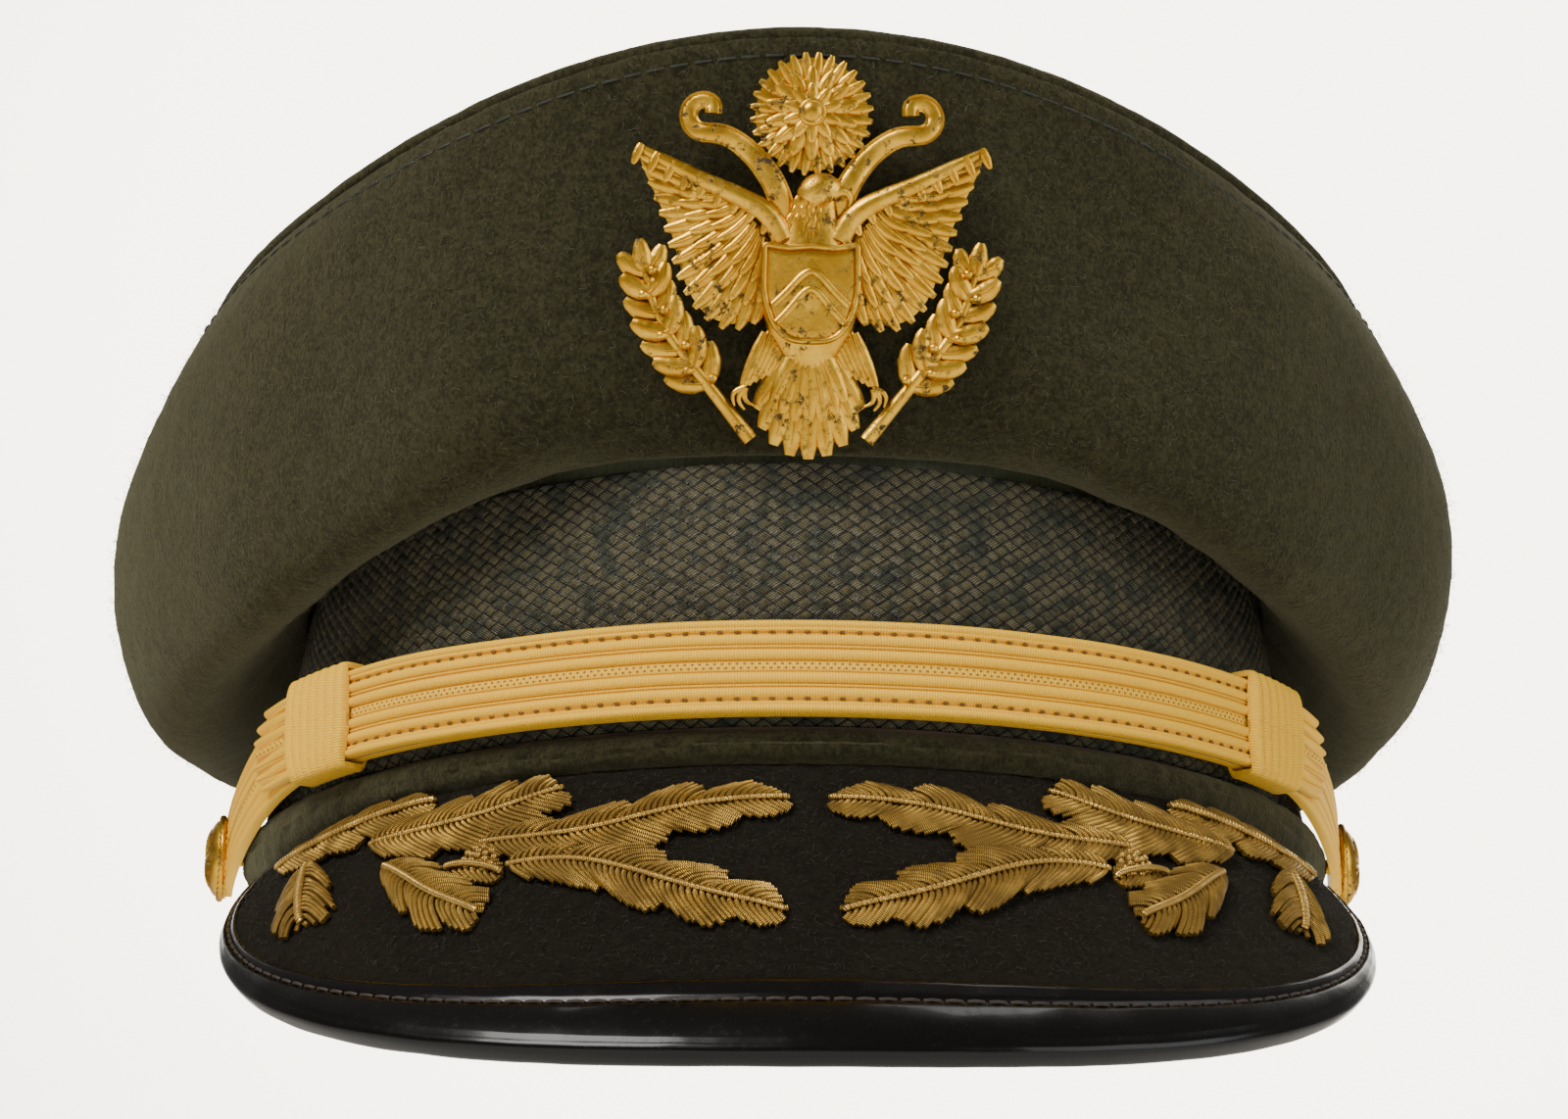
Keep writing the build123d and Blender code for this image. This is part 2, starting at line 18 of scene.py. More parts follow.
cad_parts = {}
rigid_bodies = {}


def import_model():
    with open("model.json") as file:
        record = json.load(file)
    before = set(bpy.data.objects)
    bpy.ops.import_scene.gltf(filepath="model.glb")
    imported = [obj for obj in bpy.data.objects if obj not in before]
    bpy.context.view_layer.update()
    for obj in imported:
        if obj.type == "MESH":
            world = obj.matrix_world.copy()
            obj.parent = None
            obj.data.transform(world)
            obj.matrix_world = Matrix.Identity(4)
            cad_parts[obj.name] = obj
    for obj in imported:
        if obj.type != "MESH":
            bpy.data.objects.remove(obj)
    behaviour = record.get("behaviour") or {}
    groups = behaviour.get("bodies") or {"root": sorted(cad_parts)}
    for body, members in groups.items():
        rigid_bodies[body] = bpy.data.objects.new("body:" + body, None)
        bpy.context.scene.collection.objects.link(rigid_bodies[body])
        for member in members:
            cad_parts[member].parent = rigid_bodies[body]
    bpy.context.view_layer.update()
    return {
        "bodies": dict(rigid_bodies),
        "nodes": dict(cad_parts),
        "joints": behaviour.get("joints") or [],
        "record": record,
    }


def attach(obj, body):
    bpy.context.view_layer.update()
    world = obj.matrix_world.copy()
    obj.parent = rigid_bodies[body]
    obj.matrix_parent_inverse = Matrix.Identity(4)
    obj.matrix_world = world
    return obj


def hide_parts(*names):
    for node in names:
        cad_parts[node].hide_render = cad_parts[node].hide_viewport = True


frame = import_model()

MM = 0.001
LOG = logging.getLogger("peaked_cap")
Array = np.ndarray


# ---- shader expressions ----
class Socket:
    """A shader output that takes part in Python expressions."""

    def __init__(self, graph: "Graph", output: bpy.types.NodeSocket) -> None:
        """Keep the graph and the output that this value comes from."""
        self.graph, self.output = graph, output

    def _maths(self, operation: str, *values: "Socket | float") -> "Socket":
        """Add one Math node over the given values."""
        return self.graph.node("ShaderNodeMath", {"operation": operation}, dict(enumerate(values)))

    def __add__(self, other: "Socket | float") -> "Socket":
        """Sum."""
        return self._maths("ADD", self, other)

    def __sub__(self, other: "Socket | float") -> "Socket":
        """Difference."""
        return self._maths("SUBTRACT", self, other)

    def __rsub__(self, other: float) -> "Socket":
        """Difference from a number."""
        return self._maths("SUBTRACT", other, self)

    def __mul__(self, other: "Socket | float") -> "Socket":
        """Product."""
        return self._maths("MULTIPLY", self, other)

    def __truediv__(self, other: "Socket | float") -> "Socket":
        """Quotient."""
        return self._maths("DIVIDE", self, other)

    def __pow__(self, other: float) -> "Socket":
        """Power."""
        return self._maths("POWER", self, other)

    __radd__, __rmul__ = __add__, __mul__

    def sine(self) -> "Socket":
        """Sine of the value in radians."""
        return self._maths("SINE", self)

    def size(self) -> "Socket":
        """Absolute value."""
        return self._maths("ABSOLUTE", self)

    def fraction(self) -> "Socket":
        """Fractional part."""
        return self._maths("FRACT", self)

    def floor(self) -> "Socket":
        """Whole part."""
        return self._maths("FLOOR", self)

    def step(self, low: float, high: float) -> "Socket":
        """A smooth step from 0 at `low` to 1 at `high`."""
        return self.graph.node("ShaderNodeMapRange", {"interpolation_type": "SMOOTHSTEP"}, {
            "Value": self, "From Min": low, "From Max": high, "To Min": 0.0, "To Max": 1.0})


Colour = tuple[float, float, float]
WEAVE_PITCH, WEAVE_SLANT = 3.1, 1.5  # the braid's bundles, shared by its mesh and its shader


class Graph:
    """A material's node tree, with one method that adds any node."""

    def __init__(self, name: str, owner: Optional[bpy.types.ID] = None) -> None:
        """Start an empty tree in `owner`, or in a new material called `name`."""
        self.material = owner or bpy.data.materials.new(f"look_{name}")
        self.material.use_nodes = True
        self.tree = self.material.node_tree
        self.tree.nodes.clear()

    def node(self, kind: str, settings: Optional[dict] = None, inputs: Optional[dict] = None,
             output: "int | str" = 0) -> Socket:
        """Add a node.

        Args:
            kind: the node's type.
            settings: the node's own properties, set first.
            inputs: values or links by socket name or number.
            output: the output to return.

        Returns:
            The chosen output as a Socket.
        """
        made = self.tree.nodes.new(kind)
        for key, value in (settings or {}).items():
            setattr(made, key, value)
        for key, value in (inputs or {}).items():
            self._feed(made.inputs[key], value)
        return Socket(self, made.outputs[output])

    def _feed(self, socket: bpy.types.NodeSocket, value: object) -> None:
        """Link or set one input."""
        if isinstance(value, Socket):
            self.tree.links.new(value.output, socket)
        elif isinstance(value, tuple) and len(value) == 3 and socket.type == "RGBA":
            socket.default_value = (*value, 1.0)
        else:
            socket.default_value = value

    def place(self) -> Socket:
        """Position on the object, in metres."""
        return self.node("ShaderNodeTexCoord", output="Object")

    def cloth_uv(self) -> tuple[Socket, Socket]:
        """Distances along and across a piece, in millimetres."""
        uv = self.node("ShaderNodeUVMap", {"uv_map": "flat"})
        split = self.node("ShaderNodeSeparateXYZ", None, {0: uv})
        return split, Socket(self, split.output.node.outputs[1])

    def noise(self, scale: float, detail: float = 4.0, where: Optional[Socket] = None,
              rough: float = 0.55) -> Socket:
        """Cloudy noise with features `1 / scale` metres across."""
        return self.node("ShaderNodeTexNoise", None, {
            "Vector": where or self.place(), "Scale": scale, "Detail": detail, "Roughness": rough})

    def cells(self, scale: float, where: Optional[Socket] = None) -> Socket:
        """Distance to scattered points."""
        return self.node("ShaderNodeTexVoronoi", None, {
            "Vector": where or self.place(), "Scale": scale}, "Distance")

    def stretched(self, scales: Colour) -> Socket:
        """Position scaled differently along each axis."""
        return self.node("ShaderNodeVectorMath", {"operation": "MULTIPLY"}, {
            0: self.place(), 1: scales})

    def mix(self, share: "Socket | float", first: "Socket | Colour",
            second: "Socket | Colour") -> Socket:
        """Mix two colours."""
        made = self.tree.nodes.new("ShaderNodeMix")
        made.data_type = "RGBA"
        for socket, value in zip((made.inputs[0], made.inputs[6], made.inputs[7]),
                                 (share, first, second)):
            self._feed(socket, value)
        return Socket(self, made.outputs[2])

    def bump(self, height: Socket, distance: float, strength: float = 1.0,
             under: Optional[Socket] = None) -> Socket:
        """Turn a height into a normal."""
        inputs = {"Height": height, "Distance": distance, "Strength": strength}
        if under:
            inputs["Normal"] = under
        return self.node("ShaderNodeBump", None, inputs)

    def surface(self, **values: object) -> bpy.types.Material:
        """Finish the material with one principled surface.

        Args:
            **values: sockets of the shader, with underscores for spaces.

        Returns:
            The finished material.
        """
        inputs = {key.replace("_", " "): value for key, value in values.items()}
        shader = self.node("ShaderNodeBsdfPrincipled", None, inputs)
        self.node_out(shader)
        return self.material

    def node_out(self, shader: Socket) -> None:
        """Send a shader to the material's output."""
        out = self.tree.nodes.new("ShaderNodeOutputMaterial")
        self.tree.links.new(shader.output, out.inputs[0])


# ---- finishes ----
@dataclass(frozen=True)
class Wool:
    """Fulled wool cloth with a short pale nap."""

    name: str = "green_wool"
    dark: Colour = (0.0115, 0.0104, 0.0042)
    light: Colour = (0.0390, 0.0360, 0.0155)
    fibre: Colour = (0.185, 0.170, 0.085)
    nap: float = 0.00030
    sheen: float = 0.30

    def make(self) -> bpy.types.Material:
        """Build the material."""
        g = Graph(self.name)
        clouds = g.noise(55.0, 4.0)
        felt = g.noise(1500.0, 6.0, rough=0.7)
        tufts = g.noise(600.0, 5.0, rough=0.65)
        strands = g.noise(1.0, 6.0, g.stretched((3200.0, 3200.0, 900.0)), 0.75)
        base = g.mix((felt * 0.6 + tufts * 0.3 + clouds * 0.1).step(0.40, 0.60), self.dark,
                     self.light)
        colour = g.mix(strands.step(0.60, 0.74) * 0.45, base, self.fibre)
        coarse = g.bump(tufts + felt, self.nap, 0.6)
        normal = g.bump(strands + felt, self.nap * 0.6, 0.8, coarse)
        return g.surface(Base_Color=colour, Roughness=0.95, Normal=normal,
                         Sheen_Weight=self.sheen, Sheen_Roughness=0.45,
                         Sheen_Tint=(0.66, 0.63, 0.38, 1.0), Specular_IOR_Level=0.12)


@dataclass(frozen=True)
class Braid:
    """Basket-woven mohair braid: bundles of fine threads on the slant, with painted shade between the
    threads and in the gaps between bundles.
    """

    name: str = "basket_braid"
    threads: float = 5.0
    # dark: near-black painted shade for the gaps between bundles and between threads
    dark: Colour = (0.0030, 0.0028, 0.0018)
    warm: Colour = (0.185, 0.162, 0.078)
    cool: Colour = (0.070, 0.080, 0.042)

    def make(self) -> bpy.types.Material:
        """Build the material."""
        g = Graph(self.name)
        along, up = g.cloth_uv()
        a = (along + up * WEAVE_SLANT) / WEAVE_PITCH
        b = (along - up * WEAVE_SLANT) / WEAVE_PITCH
        turn = ((a.floor() + b.floor()) * 0.5).fraction() * 2.0
        fine = (a * turn + b * (1.0 - turn)) * (self.threads * 2 * math.pi)
        thread = fine.sine() * 0.5 + 0.5
        fa, fb = a.fraction(), b.fraction()
        ends = fb * turn + fa * (1.0 - turn)
        sides = fa * turn + fb * (1.0 - turn)
        inside = ((ends * (1.0 - ends) * 4.0).step(0.05, 0.75)
                  * (sides * (1.0 - sides) * 4.0).step(0.02, 0.30))
        hue = g.noise(260.0, 3.0)
        tone = g.noise(700.0, 3.0)
        yarn = g.mix(hue.step(0.45, 0.62), self.warm, self.cool)
        # painted shade: darker between the threads and near-black in the gaps between bundles, times a
        # random dimming
        share = (thread * 0.8 + 0.2) * tone.step(0.15, 0.6) * inside
        colour = g.mix(share, self.dark, yarn)
        normal = g.bump(thread, 0.0002, 1.0)
        return g.surface(Base_Color=colour, Roughness=0.5, Normal=normal,
                         Specular_IOR_Level=0.45)


@dataclass(frozen=True)
class Lace:
    """Golden yellow silk lace: fine threads wound across each rib, with painted highlight and shade on
    the threads and painted shade in its grooves and openings.
    """

    name: str = "gold_lace"
    # light and deep: painted highlight on the crests of the wound threads and painted shade between them
    light: Colour = (1.0, 0.63, 0.045)
    deep: Colour = (0.86, 0.40, 0.006)
    pitch: float = 0.42
    # grooves: where the lines of painted shade lie, in mm from the middle
    grooves: tuple[float, ...] = (5.05, 3.18, 2.66, 0.86)

    def make(self) -> bpy.types.Material:
        """Build the material."""
        g = Graph(self.name)
        along, across = g.cloth_uv()
        wobble = g.noise(600.0, 2.0)
        winding = ((along + wobble * 0.35) * (2 * math.pi / self.pitch)).sine() * 0.5 + 0.5
        soil = g.noise(60.0, 4.0)
        # painted highlight and shade across the wound threads
        colour = g.mix(winding.step(0.0, 0.7) * 0.8 + 0.1, self.deep, self.light)
        colour = g.mix(soil.step(0.5, 0.8) * 0.2, colour, (0.80, 0.42, 0.07))
        # painted shade in the grooves between the ribs
        for groove in self.grooves:
            line = 1.0 - (across.size() - groove).size().step(0.03, 0.24)
            colour = g.mix(line * 0.6, colour, (0.50, 0.19, 0.006))
        # painted shade in the tiny openings, which are also pitted in the bump
        holes = self._holes(g, along, across)
        colour = g.mix(holes, colour, (0.32, 0.15, 0.03))
        normal = g.bump(winding - holes * 2.5, 0.00009, 0.8)
        return g.surface(Base_Color=colour, Roughness=0.5, Normal=normal,
                         Specular_IOR_Level=0.25)

    def _holes(self, g: Graph, along: Socket, across: Socket) -> Socket:
        """Chequered rows of tiny openings down the centre strip."""
        row = across / 0.62
        column = along / 1.1 + (row.floor() * 0.5).fraction()
        u = column.fraction() - 0.5
        v = row.fraction() - 0.5
        dot = 1.0 - (u * u * 1.6 + v * v).step(0.035, 0.095)
        return dot * (1.0 - across.size().step(0.60, 0.66))


@dataclass(frozen=True)
class Bullion:
    """Gilt purl: wire wound into a tight tube, with painted shade in the hollows between its turns and
    patches dulled by age.
    """

    name: str = "bullion"
    bright: Colour = (0.68, 0.42, 0.085)
    # dull_and_shade: painted shade in the hollows between turns, and the tarnish of patches dulled by
    # age
    dull_and_shade: Colour = (0.105, 0.058, 0.014)
    rough: float = 0.34
    twist: float = 0.30

    def make(self) -> bpy.types.Material:
        """Build the material."""
        g = Graph(self.name)
        along, around = g.cloth_uv()
        coil = ((along / self.twist + around) * (2 * math.pi)).sine() * 0.5 + 0.5
        age = g.noise(260.0, 4.0)
        patch = g.noise(60.0, 3.0)
        worn = (age * 0.6 + patch * 0.4).step(0.40, 0.60)
        # painted shade in the hollows between the wire's turns, dimmed further in random patches dulled
        # by age
        colour = g.mix(coil.step(0.05, 0.7) * (0.35 + worn * 0.65), self.dull_and_shade, self.bright)
        normal = g.bump(coil, 0.00011, 0.9)
        return g.surface(Base_Color=colour, Metallic=0.85, Roughness=self.rough + (1.0 - worn) * 0.2,
                         Normal=normal)


@dataclass(frozen=True)
class Gilt:
    """Struck brass with worn gilding and dark grime in scattered specks."""

    name: str = "gilt_brass"
    bright: Colour = (0.84, 0.50, 0.050)
    second: Colour = (0.64, 0.34, 0.026)
    grime: Colour = (0.050, 0.030, 0.008)
    specks: float = 1.0

    def make(self) -> bpy.types.Material:
        """Build the material."""
        g = Graph(self.name)
        speck = g.noise(620.0, 5.0, rough=0.75)
        field_noise = g.noise(130.0, 3.0)
        dirt = (1.0 - speck.step(0.37, 0.50)) * field_noise.step(0.36, 0.58) * self.specks
        tone = g.noise(220.0, 3.0)
        gold = g.mix(tone.step(0.35, 0.7), self.second, self.bright)
        colour = g.mix(dirt, gold, self.grime)
        normal = g.bump(speck * 0.6 + g.noise(1500.0, 2.0) * 0.4, 0.00012, 0.55)
        return g.surface(Base_Color=colour, Metallic=1.0 - dirt * 0.6,
                         Roughness=0.27 + dirt * 0.45 + tone * 0.10, Normal=normal)


@dataclass(frozen=True)
class Patent:
    """Black patent leather with a faint ripple under its gloss."""

    name: str = "patent_leather"

    def make(self) -> bpy.types.Material:
        """Build the material."""
        g = Graph(self.name)
        ripple = g.noise(120.0, 2.0)
        dust = g.noise(900.0, 5.0)
        colour = g.mix(dust.step(0.6, 0.85) * 0.2, (0.0022, 0.0018, 0.0014), (0.012, 0.011, 0.009))
        normal = g.bump(ripple, 0.0004, 0.25)
        return g.surface(Base_Color=colour, Roughness=0.24 + dust.step(0.5, 0.9) * 0.14,
                         Normal=normal, Coat_Weight=0.15, Coat_Roughness=0.08,
                         Specular_IOR_Level=0.22)


@dataclass(frozen=True)
class Leather:
    """Grained leather."""

    name: str
    colour: Colour
    grain: float = 900.0
    rough: float = 0.55

    def make(self) -> bpy.types.Material:
        """Build the material."""
        g = Graph(self.name)
        pores = g.cells(self.grain)
        wear = g.noise(45.0, 5.0)
        dark = tuple(0.55 * c for c in self.colour)
        colour = g.mix(wear.step(0.35, 0.7), dark, self.colour)
        normal = g.bump(pores + wear, 0.0002, 0.5)
        return g.surface(Base_Color=colour, Roughness=self.rough + wear * 0.15, Normal=normal)


@dataclass(frozen=True)
class Weave:
    """Fine plain or satin cloth, or canvas."""

    name: str
    colour: Colour
    count: float = 2600.0
    rough: float = 0.5
    sheen: float = 0.2

    def make(self) -> bpy.types.Material:
        """Build the material."""
        g = Graph(self.name)
        warp = g.noise(1.0, 3.0, g.stretched((self.count, self.count, self.count * 0.15)))
        # painted shade of soft folds in the cloth, mixed with the warp's streaks
        painted_fold_shade = g.noise(30.0, 3.0)
        dark = tuple(0.6 * c for c in self.colour)
        colour = g.mix((warp * 0.6 + painted_fold_shade * 0.4).step(0.35, 0.65), dark, self.colour)
        normal = g.bump(warp, 0.00012, 0.5)
        return g.surface(Base_Color=colour, Roughness=self.rough, Normal=normal,
                         Sheen_Weight=self.sheen)


@dataclass(frozen=True)
class Metal:
    """Plain worked metal with fine scratches."""

    name: str
    colour: Colour
    rough: float = 0.4
    metallic: float = 1.0

    def make(self) -> bpy.types.Material:
        """Build the material."""
        g = Graph(self.name)
        scratch = g.noise(1.0, 5.0, g.stretched((300.0, 2400.0, 2400.0)))
        patina = g.noise(240.0, 4.0)
        dark = tuple(0.45 * c for c in self.colour)
        colour = g.mix(patina.step(0.35, 0.7), dark, self.colour)
        normal = g.bump(scratch, 0.00005, 0.5)
        return g.surface(Base_Color=colour, Metallic=self.metallic, Normal=normal,
                         Roughness=self.rough + patina * 0.2)


@dataclass(frozen=True)
class Film:
    """Clear, slightly yellowed plastic film."""

    name: str = "clear_film"

    def make(self) -> bpy.types.Material:
        """Build the material."""
        g = Graph(self.name)
        haze = g.noise(70.0, 4.0)
        return g.surface(Base_Color=g.mix(haze, (0.80, 0.78, 0.66), (0.92, 0.92, 0.88)),
                         Roughness=0.15 + haze * 0.2, Alpha=0.22 + haze * 0.12,
                         Normal=g.bump(haze, 0.0004, 0.3))


@dataclass(frozen=True)
class Thread:
    """Sewing thread."""

    name: str
    colour: Colour

    def make(self) -> bpy.types.Material:
        """Build the material."""
        g = Graph(self.name)
        ply = g.noise(2600.0, 2.0)
        dark = tuple(0.45 * c for c in self.colour)
        return g.surface(Base_Color=g.mix(ply.step(0.35, 0.65), dark, self.colour),
                         Roughness=0.6, Normal=g.bump(ply, 0.0001, 0.7))


class Finish(Enum):
    """The cap's named finishes."""

    WOOL = Wool()
    NAP = Thread("nap_fibre", (0.115, 0.105, 0.058))
    VISOR_CLOTH = Wool("black_wool", (0.0032, 0.0024, 0.0015), (0.0100, 0.0078, 0.0048),
                       (0.055, 0.045, 0.031), 0.0004, 0.06)
    VISOR_NAP = Thread("black_nap", (0.045, 0.038, 0.027))
    BRAID = Braid()
    LACE = Lace()
    STRAP_THREAD = Thread("strap_thread", (0.20, 0.085, 0.012))
    BACKING = Thread("strap_backing", (0.62, 0.36, 0.17))
    BULLION = Bullion()
    # bright purl: the darker colour is painted shade between the turns and the age-dulled tone
    PURL = Bullion("bright_purl", (0.90, 0.60, 0.17), (0.34, 0.20, 0.045), 0.25, 0.34)
    GILT = Gilt()
    PATENT = Patent()
    BINDING_THREAD = Thread("binding_thread", (0.045, 0.030, 0.020))
    GREEN_THREAD = Thread("green_thread", (0.022, 0.026, 0.016))
    TAN_THREAD = Thread("tan_thread", (0.42, 0.30, 0.16))
    SWEATBAND = Leather("sweatband_leather", (0.24, 0.115, 0.05))
    UNDERSIDE = Leather("visor_leathercloth", (0.028, 0.050, 0.034), 1500.0, 0.42)
    SATIN = Weave("olive_satin", (0.13, 0.145, 0.075), 3000.0, 0.34, 0.3)
    CANVAS = Weave("buckram", (0.52, 0.47, 0.37), 1200.0, 0.85)
    FIBRE = Leather("fibre_board", (0.16, 0.11, 0.07), 700.0, 0.7)
    STEEL = Metal("spring_steel", (0.50, 0.50, 0.51), 0.3)
    EYELET = Metal("eyelet_metal", (0.115, 0.125, 0.10), 0.42, 0.75)
    FILM = Film()

    @property
    def material(self) -> bpy.types.Material:
        """The finish as a Blender material, built once."""
        known = bpy.data.materials.get(f"look_{self.value.name}")
        return known or self.value.make()


# ---- mesh building ----
def spread(start: float, stop: float, count: int) -> Array:
    """Evenly spaced values."""
    return np.linspace(start, stop, count)


def unit(v: Array) -> Array:
    """Vectors made one long."""
    return v / np.maximum(np.linalg.norm(v, axis=-1, keepdims=True), 1e-9)


def smooth(x: "Array | float", low: float, high: float) -> "Array | float":
    """A smooth step from 0 at `low` to 1 at `high`."""
    t = np.clip((np.asarray(x, float) - low) / (high - low), 0, 1)
    return t * t * (3 - 2 * t)


def wander(points: Array, scale: float, seed: float = 0.0) -> Array:
    """Soft noise of about -1 to 1 at each point, with features `scale` mm across."""
    flat = points.reshape(-1, 3) / scale + seed
    return np.array([noise.noise(p) for p in flat]).reshape(points.shape[:-1])


def along_path(path: Array) -> Array:
    """Distance run along each path of a (..., k, 3) array."""
    legs = np.linalg.norm(np.diff(path, axis=-2), axis=-1)
    return np.concatenate([np.zeros((*legs.shape[:-1], 1)), np.cumsum(legs, -1)], -1)


def resample(path: Array, count: int) -> Array:
    """A path redrawn as `count` evenly spaced points."""
    run = along_path(path)
    at = spread(0, run[-1], count)
    return np.stack([np.interp(at, run, path[:, i]) for i in range(path.shape[1])], -1)


def curve_through(points: Sequence[Sequence[float]], count: int) -> Array:
    """A smooth curve through a few points, evenly spaced."""
    p = np.asarray(points, float)
    knots = along_path(p)
    n = len(p)
    h = np.diff(knots)
    system, right = np.eye(n), np.zeros_like(p)
    for i in range(1, n - 1):
        system[i, i - 1:i + 2] = h[i - 1], 2 * (h[i - 1] + h[i]), h[i]
        right[i] = 6 * ((p[i + 1] - p[i]) / h[i] - (p[i] - p[i - 1]) / h[i - 1])
    bend = np.linalg.solve(system, right)
    at = spread(0, knots[-1], max(count * 4, 60))
    i = np.clip(np.searchsorted(knots, at) - 1, 0, n - 2)
    a, b, width = (knots[i + 1] - at)[:, None], (at - knots[i])[:, None], h[i][:, None]
    fine = ((bend[i] * a ** 3 + bend[i + 1] * b ** 3) / (6 * width)
            + (p[i] / width - bend[i] * width / 6) * a
            + (p[i + 1] / width - bend[i + 1] * width / 6) * b)
    return resample(fine, count)


def turns(count: int) -> Array:
    """Equal steps round a full turn, in radians."""
    return 2 * math.pi * np.arange(count) / count


def circle(radius: float, count: int) -> Array:
    """Points round a flat circle about the middle."""
    turn = turns(count)
    return radius * np.stack([np.cos(turn), np.sin(turn)], -1)


def raised(line: Array, height: "Array | float", side: int = 1) -> Array:
    """A flat line, mirrored for a side of -1, with its height added to each point."""
    return np.stack(np.broadcast_arrays(side * line[:, 0], line[:, 1], height), -1)


def stitches(line: Array, out: Array, pitch: float, first: float, filled: float, rise: float,
             sink: float) -> tuple[Array, Array]:
    """Short arched stitches along a line that lies on a surface.

    Args:
        line: (n, 3) points of the seam.
        out: the surface's outward direction at each of them.
        pitch: distance between the starts of two stitches.
        first: distance to the first stitch.
        filled: share of the pitch that is thread.
        rise: height of the arch.
        sink: depth of its ends.

    Returns:
        The stitches' centre lines and their outward directions.
    """
    run = along_path(line)
    starts = np.arange(first, run[-1] - pitch, pitch)
    at = starts[:, None] + pitch * spread(0, filled, 5)[None]
    path, up = [np.stack([np.interp(at, run, row[:, i]) for i in range(3)], -1)
                for row in (line, out)]
    path += up * (rise * np.sin(math.pi * spread(0, 1, 5)) - sink)[None, :, None]
    return path, up


